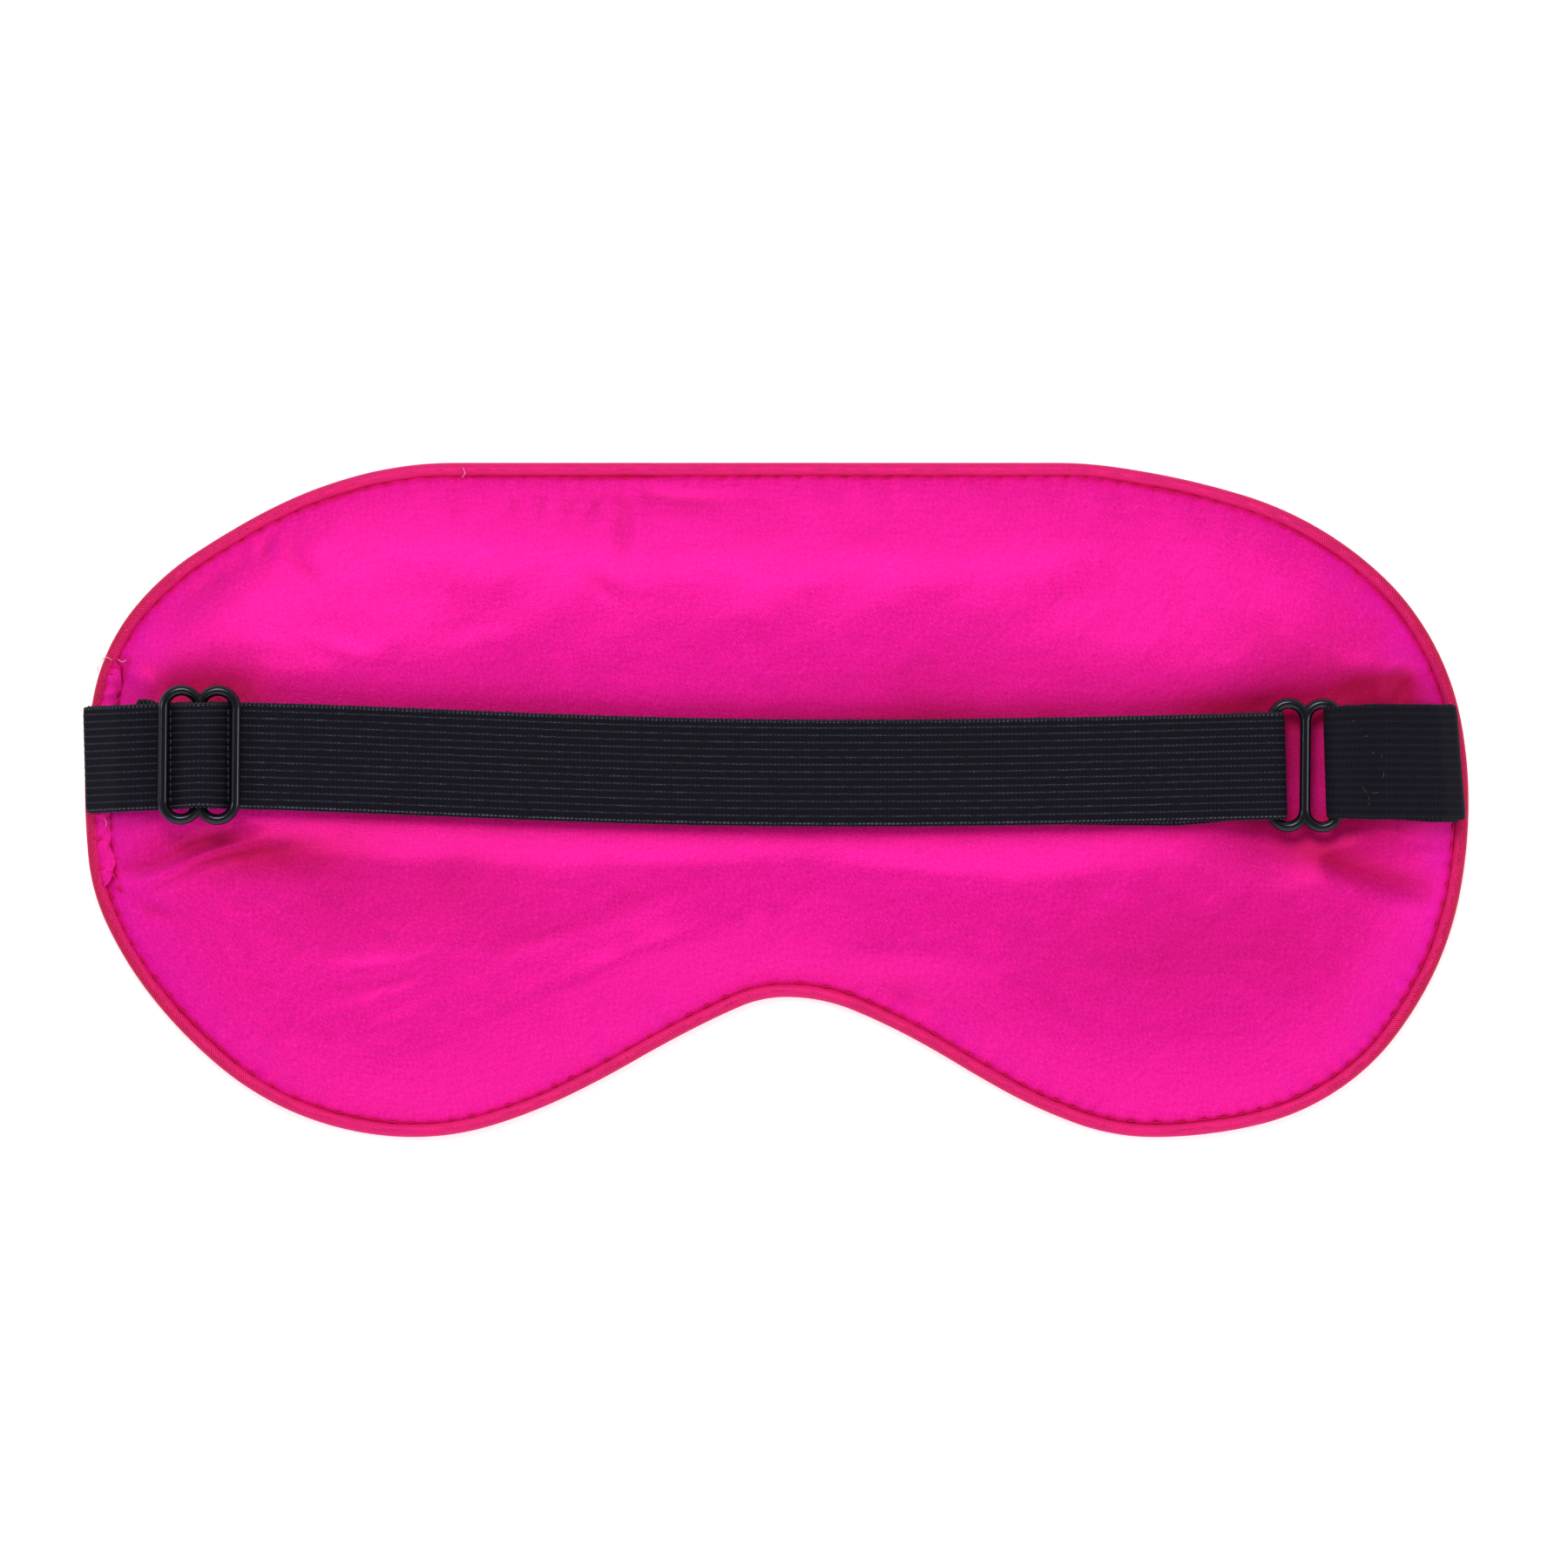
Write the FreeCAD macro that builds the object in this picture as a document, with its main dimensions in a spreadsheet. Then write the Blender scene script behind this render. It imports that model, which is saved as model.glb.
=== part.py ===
import FreeCAD, Part

import math
import os

import Sketcher

# Sleep eye mask lying on its outer face, with its strap folded flat over the back.
# Frame: +Z up from the surface it lies on, +X along the mask, +Y towards the forehead edge.
# The origin is the centre of the mask's outline, on the surface. All sizes are in millimetres.

Vector = FreeCAD.Vector
Rotation = FreeCAD.Rotation
Placement = FreeCAD.Placement

ACROSS = Vector(0, 1, 0)
UP = Vector(0, 0, 1)

# ---------------------------------------------------------------- driving dimensions

DIMENSIONS = (
    ("half_length", 100.0),        # half the mask's overall length, piping included
    ("half_height", 48.75),        # half its overall height, piping included
    ("satin_thick", 0.4),          # satin with its interfacing
    ("liner_thick", 0.3),          # blackout cloth behind the outer satin
    ("pad_top", 7.4),              # height of the padded crown
    ("seam_level", 1.7),           # height of the edge seam and of the piping's centre
    ("rim_inset", 2.05),           # where both satin panels meet, just inside the piping
    ("base_inset", 8.0),           # edge of the flat that rests on a surface
    ("crown_inset", 14.0),         # edge of the flat crown
    ("piping_radius", 1.0),
    ("filler_radius", 0.6),        # cord inside the piping
    ("thread_radius", 0.15),
    ("seam_inset", 2.25),          # line of the edge seam's thread
    ("strap_width", 15.3),
    ("strap_thick", 0.8),
    ("layer_gap", 0.12),           # clear space between layers that lie on each other
    ("wire_gap", 0.45),            # clear space between elastic and the wire it bends round
    ("sewn_depth", 7.5),           # how deep an elastic's end reaches into the side seam
    ("fold_radius", 0.9),          # centreline radius where the elastic turns over the edge
    ("fold_slope", 45.0),          # angle at which it climbs from the seam to the crown
    ("tab_fold", 98.85),           # outermost point of the ring tab's fold
    ("strap_middle", 5.72),        # height of the strap's line above the mask's centre
    ("strap_slant", 0.54),         # the strap falls by this angle towards +X
    ("wire_radius", 0.8),          # wire of the slider and the ring
    ("slider_place", 83.2),        # slider's centre, to the left of the mask's centre
    ("slider_reach", 5.2),         # its outer bars from its centre bar
    ("slider_bend", 2.575),        # its corner bends, at the wire's centre
    ("slider_height", 20.2),
    ("ring_place", 76.2),          # ring's centre, to the right of the mask's centre
    ("ring_reach", 4.85),
    ("ring_bend", 2.4),
    ("ring_height", 19.4),
    ("loop_slack", 8.8),           # loose turn of the sewn loop, left of the slider's centre
    ("loop_end", 14.0),            # its sewn end, right of the slider's centre
    ("stitch_length", 2.2),
    ("stitch_pitch", 2.8),
)

# The outline runs anticlockwise from the right end of its straight top edge. Each point is a
# share of half_length and half_height, with the heading of the edge there in degrees.
OUTLINE = (
    (0.400, 1.000, 180),
    (-0.465, 1.000, 180),
    (-0.743, 0.851, 208),
    (-0.932, 0.560, 232),
    (-1.000, 0.047, 270),
    (-0.969, -0.365, 295),
    (-0.806, -0.790, 320),
    (-0.524, -1.000, 0),       # left cheek
    (-0.304, -0.880, 25.5),
    (-0.115, -0.673, 27),
    (0.014, -0.585, 0),        # nose notch
    (0.199, -0.710, -28.5),
    (0.325, -0.859, -29),
    (0.545, -1.000, 0),        # right cheek
    (0.828, -0.836, 37),
    (0.942, -0.546, 62.5),
    (1.000, -0.006, 90),
    (0.953, 0.451, 117),
    (0.765, 0.827, 152),
    (0.576, 0.956, 168),
)

# Rise of the cushion from its rim: share of the way in, share of the way up.
UPPER_RISE = ((0, 0), (0.2, 0.5), (0.5, 0.84), (1, 1))
LOWER_RISE = ((0, 0), (0.33, 0.74), (1, 1))

doc = FreeCAD.newDocument("SleepMask")
sheet = doc.addObject("Spreadsheet::Sheet", "Sizes")
for row, (alias, value) in enumerate(DIMENSIONS, start=1):
    sheet.set(f"A{row}", alias)
    sheet.set(f"B{row}", str(value))
    sheet.setAlias(f"B{row}", alias)
doc.recompute()

parts = []


def size(alias):
    """The value of one driving dimension."""
    return float(sheet.get(alias))


def bind(item, **expressions):
    """Bind an object's properties to expressions over the sheet."""
    for prop, expression in expressions.items():
        item.setExpression(prop, expression)


def piece(item, name):
    """Name an object as one physical piece of the mask."""
    item.Label = name
    parts.append(item)
    return item


def shape_feature(label, shape):
    item = doc.addObject("Part::Feature", label)
    item.Shape = shape
    return item


def boolean(kind, label, base, tool):
    item = doc.addObject(f"Part::{kind}", label)
    item.Base = base
    item.Tool = tool
    return item


# ---------------------------------------------------------------- outline of tangent arcs


def direction(heading):
    angle = math.radians(heading)
    return Vector(math.cos(angle), math.sin(angle), 0)


def arc_from(start, leaving, end):
    """The arc from start to end that leaves start along a direction, or a line if straight."""
    chord = end - start
    left = Vector(-leaving.y, leaving.x, 0)
    offset = chord.dot(left)
    if abs(offset) < 1e-6 * chord.Length:
        return Part.LineSegment(start, end)
    radius = chord.dot(chord) / (2 * offset)
    centre = start + left * radius
    middle = centre + ((start + end) * 0.5 - centre).normalize() * abs(radius)
    return Part.Arc(start, middle, end)


def biarc(start, leaving, end, arriving):
    """Two tangent arcs between two points with given directions, or one straight line."""
    chord = end - start
    along = leaving + arriving
    a = 2 * (1 - leaving.dot(arriving))
    b = 2 * chord.dot(along)
    c = -chord.dot(chord)
    if a < 1e-9:
        reach = -c / b
    else:
        reach = (math.sqrt(b * b - 4 * a * c) - b) / (2 * a)
    joint = (start + end + (leaving - arriving) * reach) * 0.5
    turning = (end - start - along * reach).normalize()
    first = arc_from(start, leaving, joint)
    second = arc_from(joint, turning, end)
    if isinstance(first, Part.LineSegment):
        return [Part.LineSegment(start, end)]
    return [first, second]


def outline(inset, level):
    """The mask's outline at a height, moved inwards by inset."""
    points = []
    for share_x, share_y, heading in OUTLINE:
        along = direction(heading)
        inwards = Vector(-along.y, along.x, 0)
        corner = Vector(share_x * size("half_length"), share_y * size("half_height"), level)
        points.append((corner + inwards * inset, along))
    curves = []
    for (start, leaving), (end, arriving) in zip(points, points[1:] + points[:1]):
        curves += biarc(start, leaving, end, arriving)
    return Part.Wire([curve.toShape() for curve in curves])


def cushion(label, rise, inset, level, skin):
    """A crowned half of the mask, from the rim to a flat at inset and level, less a skin."""
    rim = size("rim_inset")
    seam = size("seam_level")
    flat = level - skin if level > seam else level + skin
    sections = []
    for number, (inward, upward) in enumerate(rise):
        place = rim + inward * (inset - rim) + (1 - inward) * skin
        height = seam + upward * (flat - seam)
        sections.append(shape_feature(f"{label}_section_{number}", outline(place, height)))
    item = doc.addObject("Part::Loft", label)
    item.Sections = sections
    item.Solid = True
    item.Ruled = True
    return item


def upper_half(label, skin):
    return cushion(label, UPPER_RISE, size("crown_inset"), size("pad_top"), skin)


def lower_half(label, skin):
    return cushion(label, LOWER_RISE, size("base_inset"), 0, skin)


def tube(label, inset, radius_alias):
    """A round cord along the whole edge, centred on the seam's height."""
    path = shape_feature(f"{label}_path", outline(inset, size("seam_level")))
    first = path.Shape.Edges[0]
    ring = doc.addObject("Part::Circle", f"{label}_section")
    ring.Placement = Placement(
        first.valueAt(first.FirstParameter),
        Rotation(UP, first.tangentAt(first.FirstParameter)),
    )
    bind(ring, Radius=f"Sizes.{radius_alias}")
    item = doc.addObject("Part::Sweep", label)
    item.Sections = [ring]
    item.Spine = (path, [f"Edge{number + 1}" for number in range(len(path.Shape.Edges))])
    item.Solid = True
    item.Frenet = True
    return item


# ---------------------------------------------------------------- levels of the strap

HALF = size("strap_thick") / 2
LAYER = size("strap_thick") + size("layer_gap")
WRAP = size("wire_radius") + size("wire_gap") + HALF
SEWN_LEVEL = size("seam_level") + size("piping_radius") + size("layer_gap") + HALF
RETURN_LEVEL = size("pad_top") + size("layer_gap") + HALF
LOOP_LEVEL = RETURN_LEVEL + LAYER
RUN_LEVEL = LOOP_LEVEL + LAYER
SLIDER_LEVEL = RUN_LEVEL + WRAP
RING_LEVEL = RETURN_LEVEL + WRAP
RING_TOP = RING_LEVEL + WRAP
SLIDER_X = -size("slider_place")
RING_X = size("ring_place")

strap_frame = Placement(
    Vector(0, size("strap_middle"), 0),
    Rotation(UP, -size("strap_slant")),
)


def rounded_path(corners):
    """Straight runs in the XZ plane, joined by tangent arcs. A corner is x, z and radius."""
    points = [Vector(x, 0, z) for x, z, _ in corners]
    edges = []
    last = points[0]
    for number in range(1, len(points) - 1):
        before = (points[number - 1] - points[number]).normalize()
        after = (points[number + 1] - points[number]).normalize()
        half_angle = before.getAngle(after) / 2
        radius = corners[number][2]
        run = radius / math.tan(half_angle)
        start = points[number] + before * run
        end = points[number] + after * run
        bisector = (before + after).normalize()
        middle = points[number] + bisector * (radius / math.sin(half_angle) - radius)
        if (start - last).Length > 1e-6:
            edges.append(Part.LineSegment(last, start).toShape())
        edges.append(Part.Arc(start, middle, end).toShape())
        last = end
    edges.append(Part.LineSegment(last, points[-1]).toShape())
    return Part.Wire(edges)


def ribbon(name, corners):
    """Flat elastic of the strap's width and thickness along a rounded path."""
    path = shape_feature(f"{name}_path", rounded_path(corners))
    start = Vector(corners[0][0], 0, corners[0][1])
    section = doc.addObject("Part::Plane", f"{name}_section")
    bind(section, Length="Sizes.strap_thick", Width="Sizes.strap_width")
    section.Placement = Placement(
        start - UP * HALF - ACROSS * (size("strap_width") / 2),
        Rotation(ACROSS, -90),
    )
    item = doc.addObject("Part::Sweep", name)
    item.Sections = [section]
    item.Spine = (path, [f"Edge{number + 1}" for number in range(len(path.Shape.Edges))])
    item.Solid = True
    item.Frenet = False
    doc.recompute()
    item.Placement = strap_frame
    doc.recompute()
    expected = path.Shape.Length * size("strap_thick") * size("strap_width")
    print(f"{name}: centreline {path.Shape.Length:.1f}, volume / expected "
          f"{item.Shape.Volume / expected:.4f}")
    return piece(item, name)


def edge_fold_corner(centre_x, radius, side):
    """The sharp corner whose rounding turns the elastic over the mask's edge."""
    turn = math.radians(180 - size("fold_slope"))
    return (centre_x + side * radius * math.tan(turn / 2), SEWN_LEVEL)


def long_strap():
    """The long elastic: side seam, slider, ring, back under itself, and a sewn loop."""
    slope = math.tan(math.radians(size("fold_slope")))
    fold_centre = -size("half_length") + HALF + size("fold_radius")
    corner_x, corner_z = edge_fold_corner(fold_centre, size("fold_radius"), -1)
    top_x = corner_x + (RUN_LEVEL - corner_z) / slope
    sewn_end = -size("half_length") + size("rim_inset") + size("sewn_depth")

    # The strap passes under both outer bars and over the loop that wraps the centre bar.
    loop_radius = WRAP
    over_radius = loop_radius + LAYER
    lean = math.asin((WRAP + over_radius) / size("slider_reach"))
    under_x = size("slider_reach") - WRAP * math.tan(lean / 2)
    over_x = over_radius * math.tan(lean / 2)
    over_z = SLIDER_LEVEL + over_radius
    loop_top_x = loop_radius * math.tan(lean / 2)
    drop = SLIDER_LEVEL - LOOP_LEVEL
    loop_foot_x = (loop_radius + drop * math.cos(lean)) / math.sin(lean)
    foot_radius = size("strap_thick")
    slack_radius = LAYER / 2
    crown_radius = 3.0
    ramp_radius = 20.0
    ramp_run = 6.0
    bar_x = RING_X - size("ring_reach")

    return ribbon("elastic_strap", (
        (sewn_end, SEWN_LEVEL, 0),
        (corner_x, corner_z, size("fold_radius")),
        (top_x, RUN_LEVEL, crown_radius),
        (SLIDER_X - under_x, RUN_LEVEL, WRAP),
        (SLIDER_X - over_x, over_z, over_radius),
        (SLIDER_X + over_x, over_z, over_radius),
        (SLIDER_X + under_x, RUN_LEVEL, WRAP),
        (bar_x - 2 * ramp_run, RUN_LEVEL, ramp_radius),
        (bar_x - ramp_run, RING_TOP, ramp_radius),
        (bar_x + WRAP, RING_TOP, WRAP),
        (bar_x + WRAP, RETURN_LEVEL, WRAP),
        (SLIDER_X - size("loop_slack"), RETURN_LEVEL, slack_radius),
        (SLIDER_X - size("loop_slack"), LOOP_LEVEL, slack_radius),
        (SLIDER_X - loop_foot_x, LOOP_LEVEL, foot_radius),
        (SLIDER_X - loop_top_x, SLIDER_LEVEL + loop_radius, loop_radius),
        (SLIDER_X + loop_top_x, SLIDER_LEVEL + loop_radius, loop_radius),
        (SLIDER_X + loop_foot_x, LOOP_LEVEL, foot_radius),
        (SLIDER_X + size("loop_end"), LOOP_LEVEL, 0),
    ))


def ring_tab():
    """The short elastic, folded round the ring's right bar, both ends in the side seam."""
    slope = math.tan(math.radians(size("fold_slope")))
    inner_radius = size("fold_radius")
    outer_radius = inner_radius + LAYER
    fold_centre = size("tab_fold") - HALF - outer_radius
    outer_x, outer_z = edge_fold_corner(fold_centre, outer_radius, 1)
    inner_x, _ = edge_fold_corner(fold_centre, inner_radius, 1)
    inner_z = SEWN_LEVEL + LAYER
    outer_top_x = outer_x - (LOOP_LEVEL - outer_z) / slope
    inner_top_x = inner_x - (RETURN_LEVEL - inner_z) / slope
    sewn_end = size("half_length") - size("rim_inset") - size("sewn_depth")
    bar_x = RING_X + size("ring_reach")
    ramp_start = bar_x + 7.0
    ramp_end = bar_x + 2.5
    soft_radius = 2.0
    edge_radius = 1.2
    return ribbon("ring_tab", (
        (sewn_end, SEWN_LEVEL, 0),
        (outer_x, outer_z, outer_radius),
        (outer_top_x, LOOP_LEVEL, soft_radius),
        (ramp_start, LOOP_LEVEL, soft_radius),
        (ramp_end, RING_TOP, soft_radius),
        (bar_x - WRAP, RING_TOP, WRAP),
        (bar_x - WRAP, RETURN_LEVEL, WRAP),
        (inner_top_x, RETURN_LEVEL, edge_radius),
        (inner_x, inner_z, inner_radius),
        (sewn_end, inner_z, 0),
    ))


# ---------------------------------------------------------------- slider and ring


def origin_plane(body, role):
    return next(item for item in body.Origin.OriginFeatures if item.Role == role)


def attached_sketch(body, name, plane):
    sketch = body.newObject("Sketcher::SketchObject", name)
    sketch.AttachmentSupport = (plane, [""])
    sketch.MapMode = "FlatFace"
    return sketch


def wire_buckle(name, centre_x, centre_z):
    """A buckle bent from round wire: two D loops that share a centre bar, with a V between."""
    bend = size(f"{name}_bend")
    centre = size(f"{name}_reach") - bend
    corner = size(f"{name}_height") / 2 - size("wire_radius") - bend
    outer = centre + bend
    body = doc.addObject("PartDesign::Body", name)

    path = attached_sketch(body, f"{name}_path", origin_plane(body, "XY_Plane"))
    top = Part.ArcOfCircle(Part.Circle(Vector(centre, corner, 0), UP, bend), 0, math.pi)
    side = Part.LineSegment(Vector(outer, -corner, 0), Vector(outer, corner, 0))
    low = Part.ArcOfCircle(Part.Circle(Vector(centre, -corner, 0), UP, bend), math.pi, 2 * math.pi)
    path.addGeometry([top, side, low], False)
    rule = Sketcher.Constraint
    path.addConstraint([
        rule("Tangent", 0, 1, 1, 2),
        rule("Tangent", 2, 2, 1, 1),
        rule("Vertical", 1),
        rule("Equal", 0, 2),
        rule("Horizontal", 0, 3, 0, 2),
        rule("Horizontal", 2, 3, 2, 1),
    ])
    corner_rule = f"Sizes.{name}_height / 2 - Sizes.wire_radius - Sizes.{name}_bend"
    driven = (
        (rule("Radius", 0, bend), f"Sizes.{name}_bend"),
        (rule("DistanceX", -1, 1, 0, 3, centre), f"Sizes.{name}_reach - Sizes.{name}_bend"),
        (rule("DistanceY", -1, 1, 0, 3, corner), corner_rule),
        (rule("DistanceY", 2, 3, -1, 1, corner), corner_rule),
    )
    for constraint, expression in driven:
        number = path.addConstraint(constraint)
        path.setExpression(f"Constraints[{number}]", expression)

    section = attached_sketch(body, f"{name}_section", origin_plane(body, "XZ_Plane"))
    section.AttachmentOffset = Placement(Vector(0, 0, -corner), Rotation())
    section.setExpression("AttachmentOffset.Base.z", f"-({corner_rule})")
    section.addGeometry(Part.Circle(Vector(centre - bend, 0, 0), UP, size("wire_radius")), False)
    driven = (
        (rule("Radius", 0, size("wire_radius")), "Sizes.wire_radius"),
        (rule("DistanceX", -1, 1, 0, 3, centre - bend),
         f"Sizes.{name}_reach - 2 * Sizes.{name}_bend"),
    )
    for constraint, expression in driven:
        number = section.addConstraint(constraint)
        section.setExpression(f"Constraints[{number}]", expression)
    section.addConstraint(rule("PointOnObject", 0, 3, -1))

    loop = body.newObject("PartDesign::AdditivePipe", f"{name}_loop")
    loop.Profile = section
    loop.Spine = (path, ["Edge1", "Edge2", "Edge3"])
    doc.recompute()
    mirror = body.newObject("PartDesign::Mirrored", f"{name}_mirror")
    mirror.Originals = [loop]
    mirror.MirrorPlane = (origin_plane(body, "YZ_Plane"), [""])
    body.Tip = mirror
    doc.recompute()
    bar = body.newObject("PartDesign::AdditiveCylinder", f"{name}_bar")
    bind(bar, Radius="Sizes.wire_radius", Height=f"2 * ({corner_rule})")
    bar.Placement = Placement(Vector(0, corner, 0), Rotation(Vector(1, 0, 0), 90))
    body.Tip = bar
    body.Placement = strap_frame * Placement(Vector(centre_x, 0, centre_z), Rotation())
    return piece(body, name)


# ---------------------------------------------------------------- threads

STITCHES_ACROSS = 5


def thread_group(name, starts, heading):
    """A group of short straight stitches, each from its start along a direction."""
    stitches = []
    for number, start in enumerate(starts):
        stitch = doc.addObject("Part::Cylinder", f"{name}_{number}")
        bind(stitch, Radius="Sizes.thread_radius", Height="Sizes.stitch_length")
        stitch.Placement = Placement(start, Rotation(UP, heading))
        stitches.append(stitch)
    group = doc.addObject("Part::Compound", name)
    group.Links = stitches
    return piece(group, name)


def row_across(x, level):
    """Starts of a row of stitches across the strap, centred on its line."""
    starts = []
    for number in range(STITCHES_ACROSS):
        y = (number - STITCHES_ACROSS / 2) * size("stitch_pitch")
        starts.append(strap_frame.multVec(Vector(x, y, level)))
    return starts


def tack(name, x, lowest, highest):
    """Two rows of stitches above and below the elastic's sewn end."""
    margin = HALF + size("layer_gap") + size("thread_radius")
    row_spacing = 2.4
    starts = []
    for offset in (-row_spacing / 2, row_spacing / 2):
        starts += row_across(x + offset, lowest - margin)
        starts += row_across(x + offset, highest + margin)
    return thread_group(name, starts, strap_frame.Rotation.multVec(ACROSS))


# ---------------------------------------------------------------- the mask's pieces

satin = size("satin_thick")
lining = satin + size("liner_thick")

outer_panel = boolean("Cut", "outer_panel", lower_half("outer_face", 0), lower_half("outer_back", satin))
piece(outer_panel, "outer_panel")

liner = boolean("Cut", "blackout_liner", lower_half("liner_face", satin), lower_half("liner_back", lining))
piece(liner, "blackout_liner")


def pocket(label, side, highest):
    """The space that a sewn end and its tack take up in the side seam."""
    spare = 0.6
    cover = HALF + size("layer_gap") + 2 * size("thread_radius") + spare / 4
    length = size("rim_inset") + size("sewn_depth") + spare
    box = doc.addObject("Part::Box", label)
    box.Length = length
    box.Width = size("strap_width") + 2 * spare
    box.Height = highest - SEWN_LEVEL + 2 * cover
    start_x = size("half_length") - length if side > 0 else -size("half_length")
    corner = Vector(start_x, -size("strap_width") / 2 - spare, SEWN_LEVEL - cover)
    box.Placement = strap_frame * Placement(corner, Rotation())
    return box


pockets = boolean(
    "Fuse", "sewn_end_pockets",
    pocket("left_pocket", -1, SEWN_LEVEL),
    pocket("right_pocket", 1, SEWN_LEVEL + LAYER),
)

filling = boolean("Fuse", "filling", lower_half("filling_low", lining), upper_half("filling_top", satin))
piece(boolean("Cut", "padding", filling, pockets), "padding")

inner_shell = boolean("Cut", "inner_shell", upper_half("inner_face", 0), upper_half("inner_back", satin))
piece(boolean("Cut", "inner_panel", inner_shell, pockets), "inner_panel")

piping = tube("piping_outside", size("piping_radius"), "piping_radius")
piping_bore = tube("piping_bore", size("piping_radius"), "filler_radius")
piece(boolean("Cut", "piping_cover", piping, piping_bore), "piping_cover")
piece(tube("piping_cord", size("piping_radius"), "filler_radius"), "piping_cord")
piece(tube("edge_seam_thread", size("seam_inset"), "thread_radius"), "edge_seam_thread")

long_strap()
ring_tab()
wire_buckle("slider", SLIDER_X, SLIDER_LEVEL)
wire_buckle("ring", RING_X, RING_LEVEL)

tack_reach = 2.4
tack_x = size("half_length") - size("rim_inset") - size("sewn_depth") + tack_reach
tack("left_seam_tack", -tack_x, SEWN_LEVEL, SEWN_LEVEL)
tack("right_seam_tack", tack_x, SEWN_LEVEL, SEWN_LEVEL + LAYER)

# A zigzag against the cut end of the sewn loop, between the strap's two runs.
loop_tack_x = SLIDER_X + size("loop_end") + size("layer_gap") + size("thread_radius")
thread_group("loop_tack", row_across(loop_tack_x, LOOP_LEVEL), strap_frame.Rotation.multVec(ACROSS))


def left_edge_point(height, inset, level):
    """The point of the mask's left edge at a height along Y."""
    probe = Part.makeLine(
        Vector(-size("half_length"), height, level),
        Vector(0, height, level),
    )
    return outline(inset, level).distToShape(probe)[1][0][0]


# Hand stitches that close the left side seam, where the mask was turned right side out.
# Each one slants from the piping's flank into the inner panel.
closing_heights = (-19.3, -16.5, -13.7, -10.9, -8.1, 16.6, 19.4)
closing_level = size("seam_level") + size("piping_radius") / 2
closing_starts = [
    left_edge_point(height, 2 * size("piping_radius") - size("thread_radius"), closing_level)
    for height in closing_heights
]
thread_group("closing_stitches", closing_starts, Vector(1, 0.3, 0.9))

# ---------------------------------------------------------------- check and write

doc.recompute()
for item in doc.Objects:
    faults = [state for state in item.State if state in ("Invalid", "Error")]
    if faults:
        raise RuntimeError(f"{item.Label}: {faults}")
for item in parts:
    if item.Shape.isNull() or not item.Shape.isValid():
        raise RuntimeError(f"{item.Label}: no valid shape")

os.makedirs("parts", exist_ok=True)
for item in parts:
    item.Shape.exportStep(os.path.join("parts", f"{item.Label}.step"))
    print(f"{item.Label}: {len(item.Shape.Solids)} solids, {item.Shape.Volume:.1f} mm3")
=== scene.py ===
import math

import bmesh
import bpy
import numpy as np
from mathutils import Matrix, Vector, kdtree, noise


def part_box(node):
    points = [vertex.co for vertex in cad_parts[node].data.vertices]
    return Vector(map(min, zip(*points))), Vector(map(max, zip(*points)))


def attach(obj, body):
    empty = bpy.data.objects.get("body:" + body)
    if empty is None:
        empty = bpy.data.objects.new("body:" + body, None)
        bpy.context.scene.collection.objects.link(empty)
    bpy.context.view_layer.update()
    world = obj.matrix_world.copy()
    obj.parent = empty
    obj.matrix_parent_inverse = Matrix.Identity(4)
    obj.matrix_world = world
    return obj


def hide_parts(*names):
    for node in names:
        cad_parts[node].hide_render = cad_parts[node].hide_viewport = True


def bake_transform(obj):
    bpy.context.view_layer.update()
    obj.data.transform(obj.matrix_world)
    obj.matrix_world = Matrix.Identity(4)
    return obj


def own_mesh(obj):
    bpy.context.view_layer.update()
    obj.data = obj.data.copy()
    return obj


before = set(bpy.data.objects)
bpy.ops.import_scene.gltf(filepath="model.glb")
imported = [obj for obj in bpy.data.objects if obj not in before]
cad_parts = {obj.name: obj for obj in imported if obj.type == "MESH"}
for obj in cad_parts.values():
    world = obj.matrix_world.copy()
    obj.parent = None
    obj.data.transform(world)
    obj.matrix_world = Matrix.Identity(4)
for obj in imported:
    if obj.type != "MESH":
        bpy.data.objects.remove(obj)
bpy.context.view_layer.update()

MM = 0.001
rng = np.random.default_rng(7)
scene = bpy.context.scene


def box_mm(node):
    low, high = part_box(node)
    return np.array(low) / MM, np.array(high) / MM


def add_object(name, data):
    item = bpy.data.objects.new(name, data)
    scene.collection.objects.link(item)
    return item


PIPING_LOW, PIPING_HIGH = box_mm("piping_cover")
SLIDER_LOW, SLIDER_HIGH = box_mm("slider")
RING_LOW, RING_HIGH = box_mm("ring")
STRAP_LOW = box_mm("elastic_strap")[0]
TAB_HIGH = box_mm("ring_tab")[1]
PAD_TOP = box_mm("inner_panel")[1][2]

HALF_LENGTH = (PIPING_HIGH[0] - PIPING_LOW[0]) / 2
HALF_HEIGHT = (PIPING_HIGH[1] - PIPING_LOW[1]) / 2
PIPING_RADIUS = (PIPING_HIGH[2] - PIPING_LOW[2]) / 2
SEAM_LEVEL = (PIPING_HIGH[2] + PIPING_LOW[2]) / 2
SLIDER = (SLIDER_LOW + SLIDER_HIGH) / 2
RING = (RING_LOW + RING_HIGH) / 2
WIRE_RADIUS = (RING_HIGH[2] - RING_LOW[2]) / 2
# From the centre of a wire part to the middle of its side bars.
SLIDER_REACH = (SLIDER_HIGH[0] - SLIDER_LOW[0]) / 2 - WIRE_RADIUS - 0.1
RING_REACH = (RING_HIGH[0] - RING_LOW[0]) / 2 - WIRE_RADIUS - 0.1

STRAP_WIDTH = 15.3
STRAP_THICK = 0.8
HALF_STRAP = STRAP_THICK / 2
GAP = 0.12          # between layers of elastic

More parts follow.
